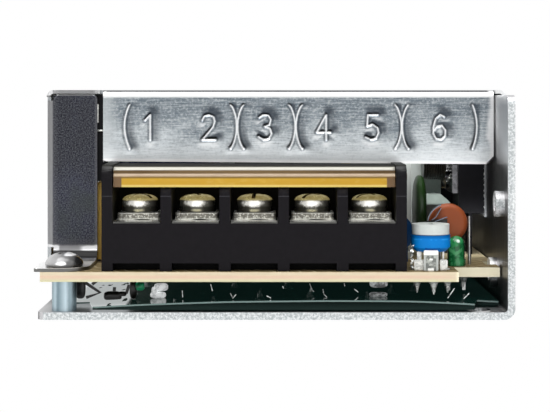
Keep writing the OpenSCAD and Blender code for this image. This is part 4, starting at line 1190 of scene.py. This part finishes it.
# ---- screws: one tree turns the clamp screws, the foot screw, the board screws and the lip screws
def screwTree(name, corners, rows, material):
    maker = Maker(name, ["headRadius", "headHeight", "shankRadius", "shankLength", "pitch", "threadDepth",
                         "slotReach", "slotWidth", "slotDepth", "crossReach", "crossDepth", "turn"])
    size = maker.size
    total = size["shankLength"] + size["headHeight"]
    body = maker.turned(corners, rows, 56, size["headRadius"], total,
                        (size["pitch"], size["threadDepth"], size["shankLength"] - size["pitch"] * 0.5))
    top = maker.vector(0.0, 0.0, total)
    slot = maker.moved(maker.add("GeometryNodeMeshCube", {}, {"Size": maker.vector(
        size["slotReach"] * 2, size["slotWidth"], size["slotDepth"] * 2)}), top)
    armLength, armWidth = size["crossReach"] * 2, size["slotWidth"] * 0.95
    arms = [maker.moved(maker.add("GeometryNodeMeshCube", {}, {"Size": maker.vector(*arm, size["crossDepth"] * 2)}),
                        top) for arm in ((armLength, armWidth), (armWidth, armLength))]
    cut = maker.cut(body, slot, *arms)
    seated = maker.moved(cut, maker.vector(0.0, 0.0, size["shankLength"] * -1), maker.vector(0.0, 0.0, size["turn"]))
    maker.finish(seated, material)
    return maker


def screwShares(sizes, headCorners):
    radius, shankRadius, length = sizes["headRadius"], sizes["shankRadius"], sizes["shankLength"]
    total = sizes["headHeight"] + length
    shank = [(0, 0), (shankRadius - 0.4, 0), (shankRadius, 0.5), (shankRadius, length)]
    head = [(out, length + up) for out, up in headCorners]
    return [(out / radius, up / total) for out, up in shank + head]


def screwValues(sizes, angle):
    lengths = {key: sizes[key] * mm for key in ("headRadius", "headHeight", "shankRadius", "shankLength", "pitch",
                                                "threadDepth", "slotWidth", "slotDepth", "crossReach", "crossDepth")}
    return {**lengths, "slotReach": sizes.get("slotReach", sizes["headRadius"] + 1) * mm, "turn": math.radians(angle)}


drumHead = [(2.9, 0), (3.0, 0.1), (3.0, 1.62), (2.95, 1.9), (2.82, 2.16), (2.58, 2.4), (2.22, 2.6), (1.7, 2.76),
            (0.95, 2.87), (0, 2.9)]
clampTree = screwTree("clampScrews", screwShares(clamp, drumHead), 128, clampFinish.material)
for number, angle in clamp["slotAngles"].items():
    name = "clamp_screw_%d" % number
    head = middle(name)
    under = ends(name, 2)[1] - clamp["headHeight"] * mm
    place = Matrix.Translation((head[0], head[1], under))
    stand(clampTree.run("clampScrew%d" % number, screwValues(clamp, angle), place), name, "nickel_plating", name)
print("clamp screws turned")

footScrew = {"headRadius": 3.1, "headHeight": 2.4, "shankRadius": 1.2, "shankLength": 6.8, "pitch": 0.5,
             "threadDepth": 0.15, "slotReach": 1.5, "slotWidth": 0.62, "slotDepth": 1.0, "crossReach": 1.5,
             "crossDepth": 1.2}
boardScrew = {**footScrew, "headRadius": 2.8, "headHeight": 2.2, "shankLength": 6.0}
lipScrew = {**footScrew, "headRadius": 2.4, "headHeight": 0.6, "shankLength": 2.0, "slotReach": 1.2, "slotWidth": 0.55,
            "slotDepth": 0.35, "crossReach": 1.2, "crossDepth": 0.35}


def panHead(sizes, dome):
    radius, height = sizes["headRadius"], sizes["headHeight"]
    angles = [step * math.pi / 20 for step in range(11)]
    arc = [(radius * math.cos(angle), height * (dome + (1 - dome) * math.sin(angle) ** 1.15)) for angle in angles]
    return [(radius * 0.90, 0), (radius * 0.97, 0.08 * height)] + arc


def buildCoverScrews():
    foot, *lips = sorted(islandBoxes("cover_screws"), key=lambda box: box[0][0])
    place = above(*foot, foot[1][2] - footScrew["headHeight"] * mm)
    tree = screwTree("footScrew", screwShares(footScrew, panHead(footScrew, 0.2)), 64, footSteel.material)
    pieces = [tree.run("coverScrews", screwValues(footScrew, 62), place)]
    lipTree = screwTree("lipScrews", screwShares(lipScrew, panHead(lipScrew, 0.7)), 32, brightSteel.material)
    for low, high in lips:
        place = Matrix.Translation((high[0] - lipScrew["headHeight"] * mm, *between(low, high)[1:]))
        pieces.append(lipTree.run("lip", screwValues(lipScrew, 20), place @ Matrix.Rotation(math.pi / 2, 4, "Y")))
    return joinPieces(pieces)


def buildBoardScrews():
    tree = screwTree("boardScrews", screwShares(boardScrew, panHead(boardScrew, 0.26)), 64, brightSteel.material)
    pieces = []
    for number, (low, high) in enumerate(islandBoxes("board_screws")):
        place = above(low, high, high[2] - boardScrew["headHeight"] * mm)
        pieces.append(tree.run("boardScrew%d" % number, screwValues(boardScrew, 30 + 50 * number), place))
    return joinPieces(pieces)


stand(buildCoverScrews(), "case", "bright_steel", "cover_screws")
stand(buildBoardScrews(), "case", "bright_steel", "board_screws")
print("cover and board screws turned")

# ---- washers: a square plate with a serrated edge, dished a little, over the clamp plate
washer = {"width": 7.0, "thickness": 1.2, "hole": 1.95, "corner": 0.35, "toothPitch": 0.45, "toothDepth": 0.06,
          "dish": 0.1, "lift": 0.16}


def washerTree():
    maker = Maker("clampWashers", list(washer))
    size = maker.size
    whole = maker.vector(size["width"], size["width"], size["thickness"])
    plate = maker.add("GeometryNodeMeshCube", {}, {"Size": whole, "Vertices X": 61, "Vertices Y": 25, "Vertices Z": 7})
    x, y, z = maker.axes()
    half = size["width"] / 2
    farX, farY = abs(x) / half, abs(y) / half
    over = maker.maths("MAXIMUM", farX + farY - (2 - size["corner"] / half), 0.0) * half / 2
    newX = x - over * maker.maths("SIGN", x)
    newY = y - over * maker.maths("SIGN", y)
    tooth = abs(maker.maths("FRACT", x / size["toothPitch"]) - 0.5) * 2
    edge = (farY > 0.95) * (farX < 0.92)
    newY = newY - edge * tooth * size["toothDepth"] * maker.maths("SIGN", y)
    side = abs(maker.maths("FRACT", y / size["toothPitch"]) - 0.5) * 2
    newX = newX - (farX > 0.97) * (farY < 0.9) * side * size["toothDepth"] * maker.maths("SIGN", x)
    dish = maker.maths("POWER", maker.maths("MAXIMUM", farX, farY), 6) * size["dish"]
    under = (z < 0) * maker.maths("MAXIMUM", maker.maths("SINE", x * 900 + 0.9), 0.0) * size["lift"] * (farY > 0.4)
    bent = maker.add("GeometryNodeSetPosition", {}, {0: plate, "Position": maker.vector(
        newX, newY, z - dish * (z > 0) + under)})
    hole = maker.add("GeometryNodeMeshCylinder", {}, {"Vertices": 40, "Radius": size["hole"],
                                                      "Depth": size["thickness"] * 4})
    maker.finish(maker.cut(bent, hole), washerFinish.material)
    return maker


washers = washerTree()
for number in range(1, 6):
    name = "clamp_washer_%d" % number
    piece = washers.run("clampWasher%d" % number, {key: value * mm for key, value in washer.items()},
                        Matrix.Translation(middle(name)))
    stand(piece, name, "nickel_plating", name)
print("washers pressed")

# ---- solder: a joint with a hollow flank and a clipped lead at every lead end under the board
joint = {"leadRadius": 0.3, "leadLength": 0.85, "lean": 0.16}


def solderPoints():
    boxes = islandBoxes("solder_joints")
    mesh = bpy.data.meshes.new("solderPoints")
    mesh.from_pydata([(*between(low, high)[:2], high[2]) for low, high in boxes], [], [])
    for name, values in (("wide", [(high[0] - low[0]) / 2 for low, high in boxes]),
                         ("tall", [high[2] - low[2] for low, high in boxes])):
        mesh.attributes.new(name, "FLOAT", "POINT").data.foreach_set("value", values)
    return mesh


def solderTree():
    maker = Maker("solderJoints", list(joint))
    size = maker.size
    wide = maker.add("GeometryNodeInputNamedAttribute", {"data_type": "FLOAT"}, {"Name": "wide"})
    tall = maker.add("GeometryNodeInputNamedAttribute", {"data_type": "FLOAT"}, {"Name": "tall"})
    corners = [(0, 0), (0.36, 0), (0.40, 0.1), (0.45, 0.35), (0.58, 0.65), (0.8, 0.88), (1.0, 0.97), (1.0, 1.0),
               (0, 1.0)]
    cone = maker.moved(maker.turned(corners, 16, 20, 1.0, 1.0), maker.vector(0.0, 0.0, -1.0))
    cones = maker.add("GeometryNodeInstanceOnPoints", {}, {"Points": maker.start, "Instance": cone,
                                                           "Scale": maker.vector(wide, wide, tall)})
    lead = maker.moved(maker.add("GeometryNodeMeshCylinder", {}, {"Vertices": 12, "Radius": size["leadRadius"],
                                                                  "Depth": size["leadLength"] * 2}),
                       maker.vector(0.0, 0.0, -0.0010))
    lean = maker.add("FunctionNodeRandomValue", {"data_type": "FLOAT_VECTOR"},
                     {"Min": maker.vector(size["lean"] * -1, size["lean"] * -1, 0.0),
                      "Max": maker.vector(size["lean"], size["lean"], 3.0), "Seed": 4})
    leads = maker.add("GeometryNodeInstanceOnPoints", {}, {"Points": maker.start, "Instance": lead, "Rotation": lean,
                                                           "Selection": wide < 0.002})
    maker.finish(maker.join(cones, leads), solderTin.material)
    return maker


jointValues = {"leadRadius": joint["leadRadius"] * mm, "leadLength": joint["leadLength"] * mm, "lean": joint["lean"]}
soldered = solderTree().run("solderJoints", jointValues, start=solderPoints())
stand(soldered, "case", "solder", "solder_joints")
print("joints soldered")

# ---- coils: wire wound on the output choke and on both legs of the line choke
def coilTree(name, sizes, material):
    maker = Maker(name, list(sizes))
    size = maker.size
    path = maker.add("GeometryNodeCurveSpiral", {}, {"Resolution": 36, "Rotations": size["turns"], "Start Radius": 1.0,
                                                     "End Radius": 1.0, "Height": size["length"]})
    x, y, z = maker.axes()
    squareness = size["squareness"]
    spread = maker.maths("POWER", maker.maths("POWER", abs(x), squareness)
                         + maker.maths("POWER", abs(y), squareness), -1 / squareness)
    laid = maker.add("GeometryNodeSetPosition", {}, {0: path, "Position": maker.vector(
        x * spread * size["halfX"], y * spread * size["halfY"], z)})
    ring = maker.add("GeometryNodeCurvePrimitiveCircle", {"mode": "RADIUS"}, {"Resolution": 8, "Radius": size["wire"]})
    wire = maker.add("GeometryNodeCurveToMesh", {}, {"Curve": laid, "Profile Curve": ring, "Fill Caps": True})
    maker.finish(wire, material)
    return maker


chokeCore = {"radius": 3.18, "inset": 0.18}
chokeCoil = {"turns": 9.6, "length": 3.7, "halfX": 3.28, "halfY": 3.28, "wire": 0.21, "squareness": 2.0}
legCoil = {"turns": 9.0, "length": 7.0, "halfX": 3.2, "halfY": 3.9, "wire": 0.38, "squareness": 5.0}


def coilValues(sizes):
    return {key: value if key in ("turns", "squareness") else value * mm for key, value in sizes.items()}


def buildOutputCoil():
    low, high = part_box("output_choke_winding")
    centre = middle("output_choke_winding")
    place = Matrix.Translation((low[0] + chokeCore["inset"] * mm, *centre[1:])) @ Matrix.Rotation(math.pi / 2, 4, "Y")
    coil = coilTree("outputCoil", chokeCoil, darkWire.material).run("outputCoil", coilValues(chokeCoil), place)
    shape = bmesh.new()
    radius = chokeCore["radius"] * mm
    bmesh.ops.create_cone(shape, cap_ends=True, segments=48, radius1=radius, radius2=radius, depth=high[0] - low[0],
                          matrix=Matrix.Translation(centre) @ Matrix.Rotation(math.pi / 2, 4, "Y"))
    return joinPieces([coil, placed("coilCore", meshOf("coilCore", shape), darkWire, 35)])


def buildLineCoils():
    tree = coilTree("lineCoils", legCoil, copperWire.material)
    pieces = []
    for low, high in islandBoxes("line_choke_windings"):
        place = above(low, high, low[2] + legCoil["wire"] * mm)
        pieces.append(tree.run("lineCoil", coilValues(legCoil), place))
    return joinPieces(pieces)


stand(buildOutputCoil(), "case", "dark_wire", "output_choke_winding")
stand(buildLineCoils(), "case", "copper_wire", "line_choke_windings")
print("coils wound")

# ---- loose shapes: boxes with soft edges, joined to one piece
def boxesPiece(name, boxes, bevel, finish):
    shape = bmesh.new()
    for low, high in boxes:
        size = [b - a for a, b in zip(low, high)]
        block = bmesh.ops.create_cube(shape, size=mm, matrix=Matrix.Translation(Vector(between(low, high)) * mm)
                                      @ Matrix.Diagonal((*size, 1)))
        edges = {edge for vertex in block["verts"] for edge in vertex.link_edges}
        bmesh.ops.bevel(shape, geom=list(edges), offset=min(bevel, min(size) * 0.3) * mm, segments=2, affect="EDGES")
    return placed(name, meshOf(name, shape), finish, 40)


# A turned pin that stands on its foot: a point below, a straight part above
def pinPiece(name, x, d, low, high, radius, taper, finish):
    shape = bmesh.new()
    neck = low + taper
    for lower, upper, lowRadius, topRadius in ((low, neck, radius * 0.35, radius), (neck, high, radius, radius)):
        bmesh.ops.create_cone(shape, cap_ends=True, segments=16, radius1=lowRadius * mm, radius2=topRadius * mm,
                              depth=(upper - lower) * mm,
                              matrix=Matrix.Translation((x * mm, frontY + d * mm, (lower + upper) / 2 * mm)))
    return placed(name, meshOf(name, shape), finish, 40)


# ---- trimmer legs: an embossed tongue in front between two shouldered legs
legs = {"tongue": (-1.35, 1.0, 1.15, 1.5), "sides": [(-2.80, -1.08), (1.34, 2.6)], "sideHeight": 1.75,
        "pins": [(-2.2, 4.0), (0.3, 1.8), (2.75, 4.0)], "pinLength": 2.2}


def buildTrimmerLegs():
    bodyLow = ends("trimmer_body", 2)[0] / mm
    x, front, top = middle("trimmer_body")[0] / mm, frontY / mm, boardTop / mm
    left, right, near, far = legs["tongue"]
    boxes = [((x + left, front + near, top), (x + right, front + far, bodyLow + 0.3)),
             ((x + left + 0.1, front + near - 0.05, bodyLow - 0.35), (x + right - 0.1, front + 3.0, bodyLow)),
             ((x + left, front + near - 0.09, top + 0.1), (x + left + 0.28, front + near + 0.1, bodyLow - 0.2)),
             ((x + right - 0.28, front + near - 0.09, top + 0.1), (x + right, front + near + 0.1, bodyLow - 0.2)),
             ((x - 0.65, front + near - 0.14, top + 0.8), (x + 0.27, front + near + 0.1, bodyLow - 0.75)),
             ((x - 0.70, front + near - 0.16, top), (x + 0.20, front + near + 0.1, top + 0.42))]
    for low, high in legs["sides"]:
        boxes.append(((x + low, front + 2.2, top), (x + high, front + 2.75, top + legs["sideHeight"])))
        boxes.append(((x + low + 0.06, front + 2.14, top + 0.78), (x + high - 0.06, front + 2.3, top + 0.90)))
        boxes.append(((x + low + 0.5, front + 2.75, top + 0.4), (x + high - 0.5, front + 3.1, bodyLow)))
    pieces = [boxesPiece("trimmerLegs", boxes, 0.12, legTin)]
    for across, d in legs["pins"]:
        pieces.append(pinPiece("pin", x + across, d, boardUnder / mm - legs["pinLength"], top + 0.2, 0.42, 1.0, legTin))
    stand(joinPieces(pieces), "case", "tinned_metal", "trimmer_legs")


buildTrimmerLegs()
print("trimmer legs folded")

# ---- the green film capacitor: a flat body with every edge rounded by its dip
dipped = {"rings": 24, "segments": 48, "squareness": 3.2}


def dippedBody(name, low, high, finish):
    centre, half = between(low, high), [(b - a) / 2 for a, b in zip(low, high)]
    power = dipped["squareness"]
    shape = bmesh.new()
    bmesh.ops.create_uvsphere(shape, u_segments=dipped["segments"], v_segments=dipped["rings"], radius=1.0)
    for vertex in shape.verts:
        x, y, z = vertex.co.z, vertex.co.x, vertex.co.y
        out = max(math.hypot(y, z), 0.0001)
        grow = (abs(x) ** power + out ** power) ** (-1 / power)
        vertex.co = Vector([start + part * grow * reach for start, part, reach in zip(centre, (x, y, z), half)])
    return placed(name, meshOf(name, shape, True), finish, 180)


def buildFilmCapacitor():
    low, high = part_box("film_capacitor")
    body = dippedBody("filmCapacitor", (low[0], low[1], boardTop + 0.0015), high, filmGreen)
    x, near, foot = (low[0] + high[0]) / 2 / mm, (low[1] - frontY) / mm, boardTop / mm
    wires = [pinPiece("wire", x, near + d, foot, foot + 3.2, 0.28, 0.1, tinned) for d in (2.7, 7.2)]
    stand(joinPieces([body] + wires), "case", "dipped_green", "film_capacitor")


buildFilmCapacitor()
print("film capacitor dipped")

# ---- a black sheet behind the strip and the gap beside it, which stands in for the shade seen through the gap, with the lugs that show in the gap
shadeSheet = {"left": -37.6, "right": -28.7, "low": 21.5, "high": 36.2, "front": 15.62, "rear": 15.92,
         "lugs": [((-30.75, 15.27, 29.95), (-29.0, 15.64, 30.25)), ((-30.6, 15.32, 31.4), (-30.25, 15.64, 34.6))]}


def buildShadeSheet():
    corners = [(shadeSheet["left"], shadeSheet["front"], shadeSheet["low"]), (shadeSheet["right"], shadeSheet["rear"], shadeSheet["high"])]
    stand(boxesPiece("gapShadeSheet", [behindFront(corners)], 0.05, epoxy), "case", "black_moulding")
    lugs = [behindFront(box) for box in shadeSheet["lugs"]]
    stand(boxesPiece("gapLugs", lugs, 0.08, legTin), "case", "tinned_metal")


buildShadeSheet()
print("paper behind the strip")

# ---- a strip that follows a path: four-sided in section, closed at both ends
def stripAlong(name, path, width, thickness, across, finish):
    vertices, faces = [], []
    side = Vector(across).normalized()
    points = [Vector(point) for point in path]
    for index, point in enumerate(points):
        ahead = (points[min(index + 1, len(points) - 1)] - points[max(index - 1, 0)]).normalized()
        other = ahead.cross(side).normalized()
        for u, v in ((-1, -1), (1, -1), (1, 1), (-1, 1)):
            vertices.append((point + side * (u * width / 2) + other * (v * thickness / 2)) * mm)
    for index in range(len(points) - 1):
        a = index * 4
        for corner in range(4):
            b = (corner + 1) % 4
            faces.append((a + corner, a + 4 + corner, a + 4 + b, a + b))
    last = (len(points) - 1) * 4
    faces += [(0, 1, 2, 3), (last + 3, last + 2, last + 1, last)]
    return placed(name, closedMesh(name, [tuple(vertex) for vertex in vertices], faces), finish, 50)


# ---- small things seen in the opening: the sleeve's paths start from the middle of the orange disc
details = {
    "discDrop": 0.45,
    "curl": [(-3.6, -1.35, 0.15), (-2.4, -1.5, 0.35), (-1.2, -1.5, 0.8), (-0.3, -1.35, 1.1)],
    "fold": [(-3.5, -1.3, 0.1), (-2.2, -1.45, 1.1), (-1.3, -1.35, 2.6)],
    "mouth": [(-4.2, -1.65, -0.15), (-2.4, -1.75, 0.25), (-0.3, -1.65, 0.3)],
    "wireTop": 27.6, "wireKnee": 22.3, "glintLineFoot": 15.6, "foilX": 21.95}


def buildSleeve():
    lowered = mergedCopy("disc_capacitor", "discCapacitor")
    lowered.data.transform(Matrix.Translation((0, 0, -details["discDrop"] * mm)))
    softenEdges(lowered, 30)
    stand(lowered, "case", "ceramic_orange", "disc_capacitor")
    # A clear sleeve lies against the upper left of the orange disc
    x, y, z = [part / mm for part in middle("disc_capacitor")]
    z -= details["discDrop"]
    low, high = ends("disc_capacitor", 0)
    reach = (high - low) / 2 / mm
    turns = [math.radians(angle) for angle in range(112, 183, 5)]
    arc = [(x + (reach + 0.25) * math.cos(turn), y - 1.25, z + (reach + 0.05) * math.sin(turn)) for turn in turns]
    curl, fold, mouth = ([(x + dx, y + dy, z + dz) for dx, dy, dz in details[key]] for key in ("curl", "fold", "mouth"))
    sleeve = [stripAlong("clearSleeve", arc, 0.9, 0.12, (0, 1, 0), clearFilm),
              stripAlong("curl", curl, 0.8, 0.12, (0, 1, 0), clearFilm),
              stripAlong("fold", fold, 0.7, 0.1, (0, 1, 0), clearFilm),
              stripAlong("mouth", mouth, 0.95, 0.3, (0, 0, 1), darkWire)]
    stand(joinPieces(sleeve), "case", "insulating_film")


def buildShownDetails():
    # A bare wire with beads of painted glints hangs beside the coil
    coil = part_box("output_choke_winding")
    x, y = coil[1][0] / mm + 1.0, coil[0][1] / mm - 0.4
    wire = [(x + 0.12 * math.sin(k * 1.7), y, details["wireTop"] - k * 0.33) for k in range(17)]
    wire += [(x - 0.25 * k, y, details["wireKnee"] - k * 0.42) for k in range(1, 5)]
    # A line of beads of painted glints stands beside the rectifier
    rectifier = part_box("output_rectifier")
    x, y = rectifier[1][0] / mm + 0.06, rectifier[0][1] / mm - 0.05
    glintLine = [(x + 0.08 * math.sin(k * 2.3), y, details["glintLineFoot"] + k * 0.36) for k in range(40)]
    # A crumpled foil end beside the trimmer, with painted glints
    foil = behindFront([(details["foilX"] + 0.15 * math.sin(k * 1.9), 2.6 + 0.2 * math.cos(k * 2.7),
                         boardTop / mm + 0.02 + k * 0.37) for k in range(12)])
    for name, path, width, thickness, across in (("hangingWire", wire, 0.42, 0.3, (0, 1, 0)),
                                                 ("rectifierGlints", glintLine, 0.3, 0.14, (0, 1, 0)),
                                                 ("foilEnd", foil, 0.42, 0.16, (1, 0, 0.2))):
        stand(stripAlong(name, path, width, thickness, across, beadedTin), "case", "tinned_metal")


buildSleeve()
buildShownDetails()
print("clear sleeve, wire, grease and foil added")

# ---- small things in the shade under the board: dark soldered ends, solder pads, a green chip, clipped leads and a pale curl; all but the dark ends glow a little as painted light
underBoard = {
    "depth": 0.6, "darkWidth": 0.5, "glintWidth": 0.12,
    "dark": [(-27.2, 9.0, 2.75, 1.5, 0.8), (-25.6, 9.0, 3.1, 0.7, 0.4), (-32.6, 9.0, 4.2, 0.9, 1.9),
             (-23.7, 8.0, 4.0, 0.6, 1.6)],
    "darkLeads": [[(-31.8, 9, 5.0), (-29.3, 9, 3.3), (-31.6, 9, 2.5)], [(-29.0, 9, 5.9), (-30.6, 9, 4.7)],
                  [(-27.0, 9, 2.9), (-26.9, 9, 4.2)], [(-25.6, 9, 3.0), (-24.9, 9, 3.3), (-24.5, 9, 4.6)]],
    "pale": [(-19.1, 8.0, 4.35, 1.15, 0.65), (-20.2, 8.0, 3.6, 0.5, 0.8), (-19.6, 8.0, 3.05, 1.3, 0.55)],
    "green": [(-22.5, 7.0, 4.6, 0.75, 0.7)],
    "solder": [(16.7, 5.0, 5.35, 1.5, 0.75), (16.7, 6.0, 3.35, 1.5, 0.4)],
    "glints": [[(-15.5, 6, 4.0), (-15.4, 6, 2.9)], [(-10.9, 8, 4.8), (-10.6, 8, 3.7)],
               [(-7.5, 3, 3.9), (-7.1, 3, 3.1), (-6.6, 3, 3.7)], [(-1.6, 3, 3.5), (-0.9, 3, 3.15)],
               [(1.0, 8, 4.5), (1.2, 8, 4.1)], [(5.5, 8, 4.9), (5.9, 8, 3.8), (6.2, 8, 3.6)],
               [(7.6, 6, 4.2), (7.8, 6, 3.4), (8.2, 4, 3.15)], [(11.2, 8, 5.0), (11.3, 8, 4.5)],
               [(12.9, 8, 4.0), (13.5, 8, 3.5)], [(27.9, 4, 3.0), (29.0, 4, 4.6)], [(30.5, 4, 2.9), (31.4, 4, 3.8)]]}


def buildUnderBoard():
    for key, name, finish, slotName in (("dark", "darkJoints", darkWire, "dark_wire"),
                                        ("pale", "paleGlowCurl", paleTape, "yellow_tape"),
                                        ("green", "underChip", underGreen, "lamp_green"),
                                        ("solder", "solderPads", solderGrey, "solder")):
        pieces = []
        for x, d, z, wide, tall in underBoard[key]:
            low, high = behindFront([(x - wide, d - underBoard["depth"], z - tall),
                                     (x + wide, d + underBoard["depth"], z + tall)])
            pieces.append(dippedBody(name, Vector(low) * mm, Vector(high) * mm, finish))
        if key == "dark":
            wide = underBoard["darkWidth"]
            pieces += [stripAlong(name, behindFront(path), wide, wide, (0, 1, 0), finish)
                       for path in underBoard["darkLeads"]]
        stand(joinPieces(pieces), "case", slotName)
    wide = underBoard["glintWidth"]
    glints = [stripAlong("clippedLeads", behindFront(path), wide, wide, (0, 1, 0), glintTin)
              for path in underBoard["glints"]]
    stand(joinPieces(glints), "case", "tinned_metal")


buildUnderBoard()
print("joints and clipped leads under the board")

# ---- the film under the board: one bowed sheet with its corners cut away round the pillars
film = {"left": -36.6, "right": 36.5, "foldLeft": -30.4, "foldFoot": 1.52, "front": 0.7, "rear": 108.6,
        "thickness": 0.25, "columns": 64, "rows": 40, "foldRows": 6, "foldDepth": 0.08, "foldThickness": 0.2,
        "bow": [(-37, 1.85), (-33, 1.9), (-31, 1.95), (-22, 2.45), (-8, 2.92), (8, 3.08), (22, 3.02), (32, 2.52),
                (37, 2.1)],
        "notches": [(32.2, 99, 6.3), (-99, -30.6, 7.2)]}


def buildFilm():
    xs = np.linspace(film["left"], film["right"], film["columns"])
    heights = np.interp(xs, *zip(*film["bow"]))
    for turn in range(2):
        heights = np.convolve(np.pad(heights, 2, mode="edge"), np.ones(5) / 5, mode="valid")
    starts = np.full(xs.shape, film["front"])
    for low, high, depth in film["notches"]:
        starts[(xs > low) & (xs < high)] = depth
    share = np.linspace(0, 1, film["rows"])[:, None]
    across = np.broadcast_to(xs, (film["rows"], xs.size))
    sheet = np.stack([across, frontY / mm + starts + (film["rear"] - starts) * share,
                      np.broadcast_to(heights, across.shape)], axis=-1)
    # The fold that hangs from the film's front edge is a dark sheet in place of the shade under it
    shown = xs > film["foldLeft"]
    share = np.linspace(0, 1, film["foldRows"])[:, None]
    across = np.broadcast_to(xs[shown], (film["foldRows"], shown.sum()))
    foot, top = ends("base_chassis", 2)[0] / mm + film["foldFoot"], heights[shown] - film["thickness"] - 0.02
    depth = np.broadcast_to(frontY / mm + starts[shown] + film["foldDepth"], across.shape)
    fold = np.stack([across, depth, foot + (top - foot) * share], axis=-1)
    pieces = [placed(name, closedSheet(name, grid, offset), finish, 40) for name, grid, offset, finish in (
        ("insulatingFilm", sheet, (0, 0, -film["thickness"]), filmFinish),
        ("fold", fold, (0, film["foldThickness"], 0), shadeFoldFinish))]
    return stand(joinPieces(pieces), "case", "insulating_film", "insulating_film")


buildFilm()
print("film bowed")
